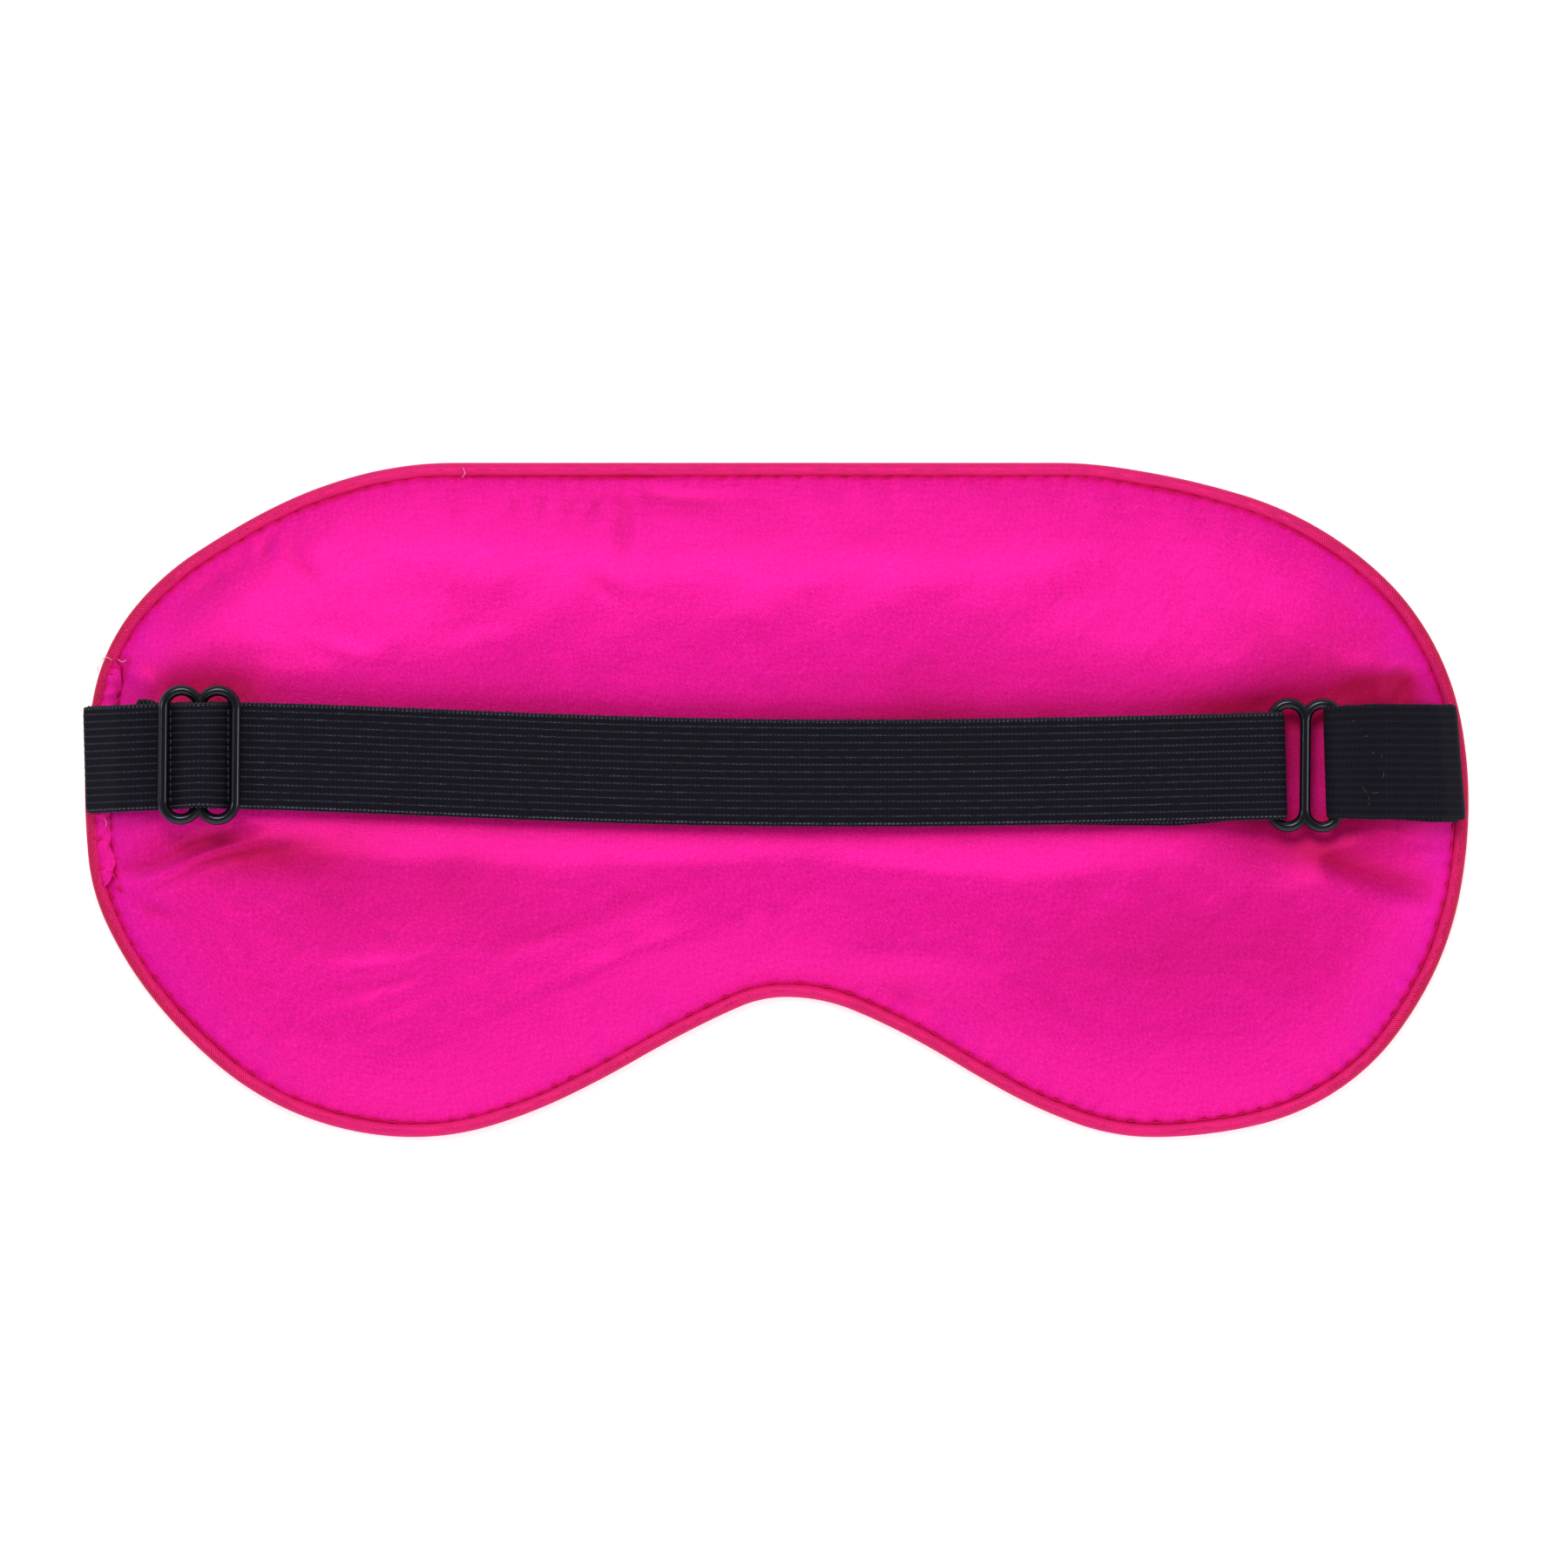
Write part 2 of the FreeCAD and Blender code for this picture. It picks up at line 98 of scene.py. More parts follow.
# WRAP is the radius of the elastic's middle round a wire. The levels are those of its middle.
WRAP = RING[2] - (PAD_TOP + GAP + HALF_STRAP)
RETURN_LEVEL = RING[2] - WRAP
RING_TOP = RING[2] + WRAP
RUN_LEVEL = SLIDER[2] - WRAP
LAYER = (RUN_LEVEL - RETURN_LEVEL) / 2
LOOP_LEVEL = RETURN_LEVEL + LAYER
SEWN_LEVEL = SEAM_LEVEL + PIPING_RADIUS + 0.52

RIB_PITCH = 1.06    # across the elastic
BEAD_PITCH = 0.61   # along its edges
STITCH_PITCH = 3.0  # of the edge seam

# ---- camera, light, floor


def make_camera():
    """Looks straight down, with the forehead edge at the top of the picture."""
    frame_width = 226.6 * MM
    centre = Vector((1.05 * MM, 2.3 * MM, SEAM_LEVEL * MM))
    data = bpy.data.cameras.new("camera")
    data.lens = 500
    data.clip_start = 0.01
    data.clip_end = 20
    scene.camera = add_object("camera", data)
    scene.camera.location = centre + Vector((0, 0, frame_width * data.lens / data.sensor_width))


def area_light(name, place, size, power, colour):
    """A soft disk of light, aimed at the middle of the mask."""
    data = bpy.data.lights.new(name, "AREA")
    data.shape = "DISK"
    data.size = size
    data.energy = power
    data.color = colour
    light = add_object(name, data)
    light.location = place
    light.rotation_euler = (-Vector(place)).to_track_quat("-Z", "Y").to_euler()
    light.visible_camera = False


def make_lights():
    """A soft white studio: brighter towards the horizon than overhead, with one soft key."""
    s = Shade(bpy.data.worlds.new("studio"), "Background")
    s.set(Color=s.ramp(s.axes("Generated")[2], (0.60, 1.0), (0.86, 0.5), (1.0, 0.30)), Strength=0.62)
    scene.world = s.owner
    area_light("key", (-0.15, 0.75, 1.42), 0.6, 10.5, (1.0, 0.99, 0.98))
    area_light("side", (-1.20, 0.25, 1.05), 0.4, 3.5, (1.0, 1.0, 1.0))
    area_light("far_side", (1.25, -0.10, 0.95), 0.5, 4.5, (1.0, 1.0, 1.0))
    area_light("front", (0.10, -1.45, 1.00), 2.4, 14.0, (0.98, 0.99, 1.0))
    scene.view_settings.view_transform = "Standard"
    scene.view_settings.look = "None"


def make_floor():
    mesh = bpy.data.meshes.new("floor")
    reach, below = 3.0, -0.05 * MM
    corners = [(x * reach, y * reach, below) for x, y in ((-1, -1), (1, -1), (1, 1), (-1, 1))]
    mesh.from_pydata(corners, [], [(0, 1, 2, 3)])
    floor = add_object("floor", mesh)
    mesh.materials.append(paper_material())


# ---- material tools


class Shade:
    """A material or world under construction, with short names for the nodes used here."""

    def __init__(self, owner, shader="Principled BSDF"):
        self.owner = bpy.data.materials.new(owner) if isinstance(owner, str) else owner
        self.owner.use_nodes = True
        self.tree = self.owner.node_tree
        self.shader = self.tree.nodes[shader]

    def node(self, kind, **inputs):
        item = self.tree.nodes.new(kind)
        for key, value in inputs.items():
            self.put(item, key, value)
        return item

    def put(self, item, key, value):
        """Links a socket, or sets it to a number or a colour of three numbers."""
        socket = item.inputs[key]
        if isinstance(value, bpy.types.NodeSocket):
            self.tree.links.new(value, socket)
        else:
            socket.default_value = (*value, 1) if isinstance(value, tuple) else value

    def set(self, **values):
        for key, value in values.items():
            self.put(self.shader, key.replace("_", " "), value)

    def math(self, operation, *values):
        item = self.tree.nodes.new("ShaderNodeMath")
        item.operation = operation
        for number in range(3):
            self.put(item, number, values[number] if number < len(values) else 0.0)
        return item.outputs[0]

    def mul(self, first, second):
        return self.math("MULTIPLY", first, second)

    def add(self, first, second):
        return self.math("ADD", first, second)

    def fit(self, value, scale, offset):
        return self.math("MULTIPLY_ADD", value, scale, offset)

    def wave(self, phase, period):
        """0 to 1 and back over each period of a phase in millimetres."""
        return self.fit(self.math("SINE", self.mul(phase, 2 * math.pi / period)), 0.5, 0.5)

    def ramp(self, value, *stops):
        """Each stop is a place with a colour, or with one number for a grey."""
        item = self.tree.nodes.new("ShaderNodeValToRGB")
        self.put(item, 0, value)
        elements = item.color_ramp.elements
        while len(elements) < len(stops):
            elements.new(0.5)
        for element, (place, colour) in zip(elements, stops):
            element.position = place
            element.color = (*np.broadcast_to(colour, 3), 1)
        return item.outputs[0]

    def mix(self, share, first, second, kind="MIX"):
        item = self.tree.nodes.new("ShaderNodeMix")
        item.data_type = "RGBA"
        item.blend_type = kind
        for key, value in ((0, share), (6, first), (7, second)):
            self.put(item, key, value)
        return item.outputs[2]

    def noise(self, scale, detail=2.0):
        return self.node("ShaderNodeTexNoise", Scale=scale, Detail=detail).outputs["Fac"]

    def attribute(self, name):
        item = self.tree.nodes.new("ShaderNodeAttribute")
        item.attribute_name = name
        return item.outputs["Fac"]

    def axes(self, kind):
        """X, Y and Z of a texture coordinate, such as Object or Normal."""
        coordinates = self.tree.nodes.new("ShaderNodeTexCoord")
        return self.node("ShaderNodeSeparateXYZ", Vector=coordinates.outputs[kind]).outputs

    def bump(self, height, strength, distance):
        return self.node("ShaderNodeBump", Height=height, Strength=strength, Distance=distance).outputs[0]


def satin_material(name, painted_sheen_share):
    """Pink polyester satin: fine diagonal twill, tinted soft gloss, a painted magenta sheen on the end
    slopes.
    """
    s = Shade(name)
    x, y, _ = s.axes("Object")
    x_mm, y_mm = s.mul(x, 1 / MM), s.mul(y, 1 / MM)
    diagonal = s.add(s.add(x_mm, y_mm), s.mul(s.noise(260, 3), 0.35))
    twill = s.wave(diagonal, 0.28 * math.sqrt(2))
    crosswise = s.mul(s.math("SUBTRACT", x_mm, y_mm), 1.1)
    floats = s.node("ShaderNodeCombineXYZ", X=s.mul(diagonal, 3.6), Y=crosswise)
    threads = s.node("ShaderNodeTexNoise", Scale=1.0, Detail=2, Vector=floats.outputs[0])
    slub = threads.outputs["Fac"]
    weave = s.fit(slub, 0.74, s.mul(twill, 0.26))
    flat = s.ramp(
        weave, (0.25, (0.66, 0.0005, 0.20)), (0.5, (0.82, 0.002, 0.285)), (0.8, (0.98, 0.020, 0.41)))
    # Painted sheen: the colour turns magenta where the satin slopes steeply sideways, at the mask's ends.
    sideways = s.ramp(s.math("ABSOLUTE", s.axes("Normal")[0]), (0.20, 0), (0.66, 1))
    colour = s.mix(sideways, flat, s.mix(painted_sheen_share, flat, (0.66, 0.001, 0.56)))
    colour = s.mix(1.0, colour, s.ramp(s.noise(45, 4), (0.3, 0.93), (0.7, 1.05)), "MULTIPLY")
    grain = s.ramp(s.noise(3000, 1), (0.25, (0.84, 0.40, 0.80)), (0.75, (1.14, 2.20, 1.20)))
    colour = s.mix(1.0, colour, grain, "MULTIPLY")
    # Painted shade: a crimson darkening in the folds, the hollows by the hardware, beside the strap's edges
    # and in the ring's gap.
    colour = s.mix(s.attribute("painted_shade"), colour, s.mix(1.0, colour, (0.52, 0.12, 0.21), "MULTIPLY"))
    # Painted shade: the dark crimson of the seam line's crevice beside the piping and of the gaps beside the
    # flap.
    s.set(Base_Color=s.mix(s.attribute("painted_crevice_shade"), colour, (0.50, 0.001, 0.034)))
    s.set(Roughness=s.fit(slub, 0.12, 0.40), Metallic=0.36, Anisotropic=0.3, Specular_IOR_Level=0.12)
    rumple = s.bump(s.noise(300), 0.6, 0.05 * MM)
    relief = s.node("ShaderNodeBump", Height=weave, Strength=0.28, Distance=0.04 * MM, Normal=rumple)
    s.set(Normal=relief.outputs[0])
    return s.owner


def piping_material():
    """The same satin cut on the bias, so its ribs run across the piping, with painted shade in a darker
    crimson on its steep sides and its outward sides at the mask's ends.
    """
    s = Shade("piping_satin")
    slanting = s.fit(s.attribute("around"), 0.75, s.attribute("along"))
    rib = s.wave(s.add(slanting, s.mul(s.noise(300), 0.5)), 0.38)
    yarn = s.noise(1800)
    weave = s.fit(yarn, 0.66, s.mul(rib, 0.34))
    # Lit and shaded copies of the piping's colour: the darker crimson one is painted shade for its steep
    # sides and its outward sides at the mask's ends.
    bright = s.ramp(
        weave, (0.2, (0.62, 0.003, 0.10)), (0.5, (0.82, 0.012, 0.19)), (0.85, (0.98, 0.050, 0.34)))
    painted_shade_crimson = s.ramp(
        weave, (0.25, (0.22, 0.001, 0.012)), (0.5, (0.50, 0.002, 0.05)), (0.75, (0.92, 0.05, 0.20)))
    # Shares of painted shade: where the piping's surface stands steep, and its outward side at the ends.
    upright = s.ramp(s.math("ABSOLUTE", s.axes("Normal")[2]), (0.50, 1), (0.96, 0))
    ends = s.attribute("painted_side_shade")
    lean = s.math("MAXIMUM", s.mul(upright, s.fit(ends, 0.75, 0.25)), ends)
    patch = s.ramp(s.noise(70), (0.35, 0.80), (0.65, 1.05))
    s.set(Base_Color=s.mix(1.0, s.mix(lean, bright, painted_shade_crimson), patch, "MULTIPLY"))
    s.set(Roughness=s.fit(yarn, 0.2, 0.40), Metallic=0.22, Specular_IOR_Level=0.08)
    s.set(Normal=s.bump(weave, 0.40, 0.05 * MM))
    return s.owner


def elastic_material(name, sharpness, rib_share, knit_share, dot_share):
    """Black braided elastic: thin grey ribs along it, fine knit between, dotted selvedges."""
    s = Shade(name)
    along, across = s.attribute("along"), s.attribute("across")
    rib = s.math("POWER", s.wave(s.fit(s.noise(140), 0.25, across), RIB_PITCH), sharpness)
    dash = s.wave(s.fit(s.noise(500), 0.5, along), BEAD_PITCH)
    knit = s.mul(s.wave(s.add(along, across), 0.43), s.wave(s.math("SUBTRACT", along, across), 0.43))
    fleck = s.noise(2600)
    off_edge = s.math("ABSOLUTE", s.math("SUBTRACT", s.math("ABSOLUTE", across), 7.3))
    selvedge = s.math("MAXIMUM", s.fit(off_edge, -5.0, 1.0), 0.0)
    dots = s.mul(selvedge, s.math("POWER", dash, 2))
    patch = s.math("MAXIMUM", s.fit(s.noise(110, 3), 3.4, -1.0), 0.05)
    line = s.mul(s.mul(rib, s.fit(dash, 0.50, 0.42)), patch)
    light = s.add(s.mul(line, rib_share), s.mul(s.mul(dots, patch), dot_share))
    light = s.add(light, s.mul(s.mul(knit, fleck), knit_share))
    colour = s.ramp(
        light, (0.0, (0.0024, 0.0019, 0.0046)), (0.35, (0.013, 0.0115, 0.020)), (1.0, (0.085, 0.080, 0.102)))
    s.set(Base_Color=colour, Roughness=s.fit(fleck, 0.2, 0.66), Specular_IOR_Level=0.07)
    s.set(Normal=s.bump(s.add(s.mul(rib, 0.6), s.mul(knit, 0.7)), 0.7, 0.08 * MM))
    return s.owner


def lacquer_material():
    """Black lacquered wire, semi-gloss, with faint wear in its coat."""
    s = Shade("black_lacquer")
    worn = s.noise(420, 4)
    s.set(Base_Color=s.ramp(worn, (0.35, (0.0025, 0.0026, 0.0040)), (0.75, (0.006, 0.0062, 0.009))))
    s.set(Roughness=s.fit(worn, 0.10, 0.12), Specular_IOR_Level=0.34, Specular_Tint=(0.82, 0.86, 1.0))
    s.set(Normal=s.bump(s.noise(900), 0.08, 0.03 * MM))
    return s.owner


def thread_material(name, dark, light):
    """Spun sewing thread with its twist."""
    s = Shade(name)
    x, y, _ = s.axes("Object")
    twist = s.wave(s.mul(s.add(x, y), 1 / MM), 0.22)
    s.set(Base_Color=s.mix(twist, dark, light), Roughness=0.7, Specular_IOR_Level=0.12)
    s.set(Normal=s.bump(twist, 0.5, 0.03 * MM))
    return s.owner


def cotton_material():
    s = Shade("filler_cotton")
    grain = s.noise(1400, 3)
    s.set(Base_Color=s.ramp(grain, (0.3, (0.62, 0.60, 0.55)), (0.7, (0.85, 0.83, 0.78))), Roughness=0.85)
    s.set(Normal=s.bump(grain, 0.4, 0.05 * MM))
    return s.owner


def paper_material():
    """The white sheet that the mask lies on."""
    s = Shade("floor_paper")
    s.set(Base_Color=s.ramp(s.noise(900), (0.0, 0.97), (1.0, 0.99)))
    s.set(Roughness=0.9, Specular_IOR_Level=0.1, Emission_Color=(1, 1, 1), Emission_Strength=0.34)
    return s.owner


# ---- outline of the mask

# The outline runs anticlockwise from the right end of its straight top edge. Each point is a
# share of the half length and half height, with the heading of the edge there in degrees.
OUTLINE = (
    (0.400, 1.000, 180), (-0.465, 1.000, 180), (-0.743, 0.851, 208), (-0.932, 0.560, 232),
    (-1.000, 0.047, 270), (-0.969, -0.365, 295), (-0.806, -0.790, 320), (-0.524, -1.000, 0),
    (-0.304, -0.880, 25.5), (-0.115, -0.673, 27), (0.014, -0.585, 0), (0.199, -0.710, -28.5),
    (0.325, -0.859, -29), (0.545, -1.000, 0), (0.828, -0.836, 37), (0.942, -0.546, 62.5),
    (1.000, -0.006, 90), (0.953, 0.451, 117), (0.765, 0.827, 152), (0.576, 0.956, 168),
)
LEFT_END, RIGHT_END = 4, 16
PIPING_COUNT = 700  # points along half the outline, for the piping
THREAD_COUNT = 2000     # and for what is sewn
# The left side is closed by hand between these heights.
FLAP_TOP, FLAP_BOTTOM = 20.6, -13.2


def arc_samples(start, leaving, end, step):
    """Points from start up to end, without end, on the arc that leaves start along a direction."""
    chord = end - start
    left = np.array((-leaving[1], leaving[0]))
    offset = chord @ left
    length = np.linalg.norm(chord)
    if abs(offset) < 1e-6 * length:
        count = max(2, int(length / step))
        return start + np.linspace(0, 1, count, endpoint=False)[:, None] * chord
    radius = chord @ chord / (2 * offset)
    centre = start + left * radius
    turn = 2 * math.asin(max(-1.0, min(1.0, length / (2 * radius))))
    count = max(2, int(abs(radius * turn) / step))
    angle = np.linspace(0, turn, count, endpoint=False)
    spoke = start - centre
    cos, sin = np.cos(angle)[:, None], np.sin(angle)[:, None]
    return centre + spoke * cos + np.array((-spoke[1], spoke[0])) * sin


def outline_node(number):
    """Place and direction of the edge at a point of the outline."""
    share_x, share_y, heading = OUTLINE[number % len(OUTLINE)]
    angle = math.radians(heading)
    place = np.array((share_x * HALF_LENGTH, share_y * HALF_HEIGHT))
    return place, np.array((math.cos(angle), math.sin(angle)))


def half_outline(first, last, count):
    """Evenly spaced points of the outline from one of its nodes to another, and its end.

    Each pair of neighbouring nodes is joined by two arcs with a common tangent between.
    """
    step = 0.05
    runs = []
    for number in range(first, last if last > first else last + len(OUTLINE)):
        (start, leaving), (end, arriving) = outline_node(number), outline_node(number + 1)
        chord = end - start
        along = leaving + arriving
        a = 2 * (1 - leaving @ arriving)
        b = 2 * chord @ along
        c = -chord @ chord
        reach = -c / b if a < 1e-9 else (math.sqrt(b * b - 4 * a * c) - b) / (2 * a)
        joint = (start + end + (leaving - arriving) * reach) / 2
        turning = end - start - along * reach
        turning = turning / np.linalg.norm(turning) if a > 1e-9 else leaving
        runs.append(arc_samples(start, leaving, joint, step))
        runs.append(arc_samples(joint, turning, end, step))
    runs.append(end[None, :])
    line = np.concatenate(runs)
    length = lengths_along(line)
    wanted = np.linspace(0, length[-1], count + 1)
    return np.stack([np.interp(wanted, length, line[:, axis]) for axis in (0, 1)], axis=1)


def closed_outline(count):
    """The outline as 2 * count points, from the right end over the top and back below.

    Also its inward normals, the length up to each point, and the whole length.
    """
    top = half_outline(RIGHT_END, LEFT_END, count)
    low = half_outline(LEFT_END, RIGHT_END, count)
    points = np.concatenate((top[:-1], low[:-1]))
    after = np.roll(points, -1, axis=0)
    along = after - np.roll(points, 1, axis=0)
    along /= np.linalg.norm(along, axis=1)[:, None]
    inwards = np.stack((-along[:, 1], along[:, 0]), axis=1)
    steps = np.linalg.norm(after - points, axis=1)
    length = np.concatenate(((0,), np.cumsum(steps)[:-1]))
    return points, inwards, length, steps.sum()


# ---- mesh tools


def new_object(name, vertices, faces, material, sharp_angle=50):
    """A smooth-shaded mesh from millimetre coordinates, sharp where its faces turn more."""
    mesh = bpy.data.meshes.new(name)
    mesh.from_pydata([tuple(v) for v in np.asarray(vertices) * MM], [], faces)
    mesh.validate()
    build = bmesh.new()
    build.from_mesh(mesh)
    bmesh.ops.recalc_face_normals(build, faces=build.faces)
    for face in build.faces:
        face.smooth = True
    limit = math.radians(sharp_angle)
    for edge in build.edges:
        if len(edge.link_faces) == 2 and edge.calc_face_angle(0) > limit:
            edge.smooth = False
    build.to_mesh(mesh)
    build.free()
    mesh.materials.append(material)
    return add_object(name, mesh)


def put_attribute(item, name, values):
    attribute = item.data.attributes.new(name, "FLOAT", "POINT")
    attribute.data.foreach_set("value", np.asarray(values, np.float32))


def fractal(points, scale, seed):
    """Smooth noise from -1 to 1 at millimetre points, by its size in millimetres."""
    return np.array([noise.noise(Vector((p[0] / scale, p[1] / scale, seed))) for p in points])


def ripple(stations, scale, seed):
    """The same noise along a line, at stations in millimetres."""
    return np.array([noise.noise(Vector((s / scale, seed, 0))) for s in stations])


def bell(value, width):
    """1 at 0, and down to 0 on both sides."""
    return np.exp(-(value / width) ** 2)


def rise(value, start, end):
    """0 up to start, 1 from end on, and straight between."""
    return np.clip((value - start) / (end - start), 0, 1)


def unit_tangents(line):
    tangent = np.gradient(line, axis=0)
    return tangent / np.linalg.norm(tangent, axis=1)[:, None]


def lengths_along(line):
    steps = np.linalg.norm(np.diff(line, axis=0), axis=1)
    return np.concatenate(((0,), np.cumsum(steps)))


def grid_faces(rows, columns, start=0, close_rows=False, close_columns=True):
    """Quads between neighbouring points of rows that are stored one after another."""
    faces = []
    for row in range(rows - (not close_rows)):
        a, b = start + row * columns, start + (row + 1) % rows * columns
        for k in range(columns - (not close_columns)):
            m = (k + 1) % columns
            faces.append((a + k, a + m, b + m, b + k))
    return faces


def stitch_phase(stations, total):
    """Stitches counted along the edge seam, whose pitch wavers as sewn by hand."""
    pitch = total / round(total / STITCH_PITCH)
    return stations / pitch + 0.35 * np.sin(stations / 11.0) + 0.2 * np.sin(stations / 4.3)


# ---- cushion

ALONG_COUNT = 420   # points along half the outline
RIM_INSET = 1.5
FLAT_INSET = 7.6    # from here inwards the outer face lies flat
EDGE_INSETS = (1.5, 1.8, 2.1, 2.4, 2.8, 3.2, 3.7, 4.3, 5.0, 5.9, 7.0)
INNER_STEPS = 34


def strap_line(x):
    """Centre of the strap across the mask, which bows a little between slider and ring."""
    share = (x - SLIDER[0]) / (RING[0] - SLIDER[0])
    inside = np.clip(share, 0, 1)
    sharpness = np.interp(inside, (0.45, 0.60), (1.5, 1.1))
    bow = np.clip(np.sin(math.pi * inside ** 1.05), 0, 1) ** sharpness
    straight = SLIDER[1] + inside * (RING[1] - SLIDER[1])
    left_tilt = np.minimum(x - SLIDER[0], 0) * 0.045
    right_tilt = np.maximum(x - RING[0], 0) * -0.01
    return straight - 1.8 * bow + left_tilt + right_tilt


def cushion_rise(inset):
    """Height above the seam as a share, from 0 at the rim to 1 on the crown."""
    share = np.clip((inset - RIM_INSET) / 16.0, 0, 1)
    return 1 - (1 - share) ** 2.25


def ring_points(points, inwards):
    """Rings of the top face, from the rim to the line where both halves meet."""
    count = len(points) // 2
    mirror = (-np.arange(2 * count)) % (2 * count)
    middle = (points + points[mirror]) / 2
    middle[:, 0] *= 0.66
    station = np.arange(len(points))
    wander = 0.4 * ripple(station, 13.0, 4.4)
    wander += 0.2 * ripple(station, 4.6, 1.9)
    wander *= np.clip(np.minimum(station, station[::-1]) / 20, 0, 1)
    rings = []
    for inset in EDGE_INSETS:
        rings.append(points + inwards * (inset + wander * math.exp(RIM_INSET - inset))[:, None])
    last = rings[-1]
    return rings + [last + (middle - last) * (n / INNER_STEPS) for n in range(1, INNER_STEPS + 1)]


def edge_distance(points, outline):
    """Distance of each point from the outline."""
    blocks = np.array_split(points, len(points) // 2000 + 1)
    return np.concatenate([
        np.sqrt(((block[:, None, :] - outline[None, :, :]) ** 2).sum(2)).min(1) for block in blocks])


def simulated_swell(points, inwards):
    """How far a padded cover of this outline swells, by cloth simulation. Millimetres."""
    ring, normal = points[::6], inwards[::6]
    size = len(ring)
    # The cover's loops as inset and level, from the seam up to the crown, and then below.
    loops = ((2.0, SEAM_LEVEL), (4.4, 4.5), (8.0, 6.4), (14.0, PAD_TOP - 0.3), (4.0, 0.45), (8.0, 0.0))
    vertices = []
    for inset, level in loops:
        vertices += [(p[0] * MM, p[1] * MM, level * MM) for p in ring + normal * inset]
    numbers = np.arange(len(vertices)).reshape(len(loops), size)[[3, 2, 1, 0, 4, 5]]
    flat = numbers.ravel()
    faces = [[int(flat[c]) for c in face] for face in grid_faces(len(loops), size)]
    faces += [numbers[0].tolist(), numbers[-1, ::-1].tolist()]
    mesh = bpy.data.meshes.new("swell")
    mesh.from_pydata(vertices, [], faces)
    item = add_object("swell", mesh)
    remesh = item.modifiers.new("remesh", "REMESH")
    remesh.mode = "VOXEL"
    remesh.voxel_size = 4.0 * MM
    even = bpy.data.meshes.new_from_object(item.evaluated_get(bpy.context.evaluated_depsgraph_get()))
    item.modifiers.clear()
    item.data = even
    before = np.array([v.co for v in even.vertices])
    held = item.vertex_groups.new(name="held")
    held.add([n for n, place in enumerate(before) if place[2] < (SEAM_LEVEL + 1.0) * MM], 1.0, "REPLACE")
    cloth = item.modifiers.new("cloth", "CLOTH")
    for key, value in dict(
        quality=6, mass=0.3, tension_stiffness=12, compression_stiffness=12, shear_stiffness=4,
        bending_stiffness=0.4, use_pressure=True, uniform_pressure_force=4, vertex_group_mass="held",
    ).items():
        setattr(cloth.settings, key, value)
    cloth.settings.effector_weights.gravity = 0
    cloth.collision_settings.use_collision = False
    last = 20
    cloth.point_cache.frame_start = 1
    cloth.point_cache.frame_end = last
    for number in range(1, last + 1):
        scene.frame_set(number)
    swollen = item.evaluated_get(bpy.context.evaluated_depsgraph_get())
    after = np.array([v.co for v in swollen.data.vertices])
    scene.frame_set(1)
    bpy.data.objects.remove(item)
    swell = np.clip((after - before)[:, 2] / MM, -2.0, 2.0)
    top = before[:, 2] > (SEAM_LEVEL + 1.2) * MM
    return before[top][:, :2] / MM, swell[top]


def spread(sources, values, targets, count=10):
    """Smooth values from scattered sources at target points."""
    tree = kdtree.KDTree(len(sources))
    for number, place in enumerate(sources):
        tree.insert((*place, 0), number)
    tree.balance()
    result = np.empty(len(targets))
    for number, place in enumerate(targets):
        _, near, distance = zip(*tree.find_n((*place, 0), count))
        share = bell(np.array(distance), 5.0) + 1e-6
        result[number] = (values[list(near)] * share).sum() / share.sum()
    return result


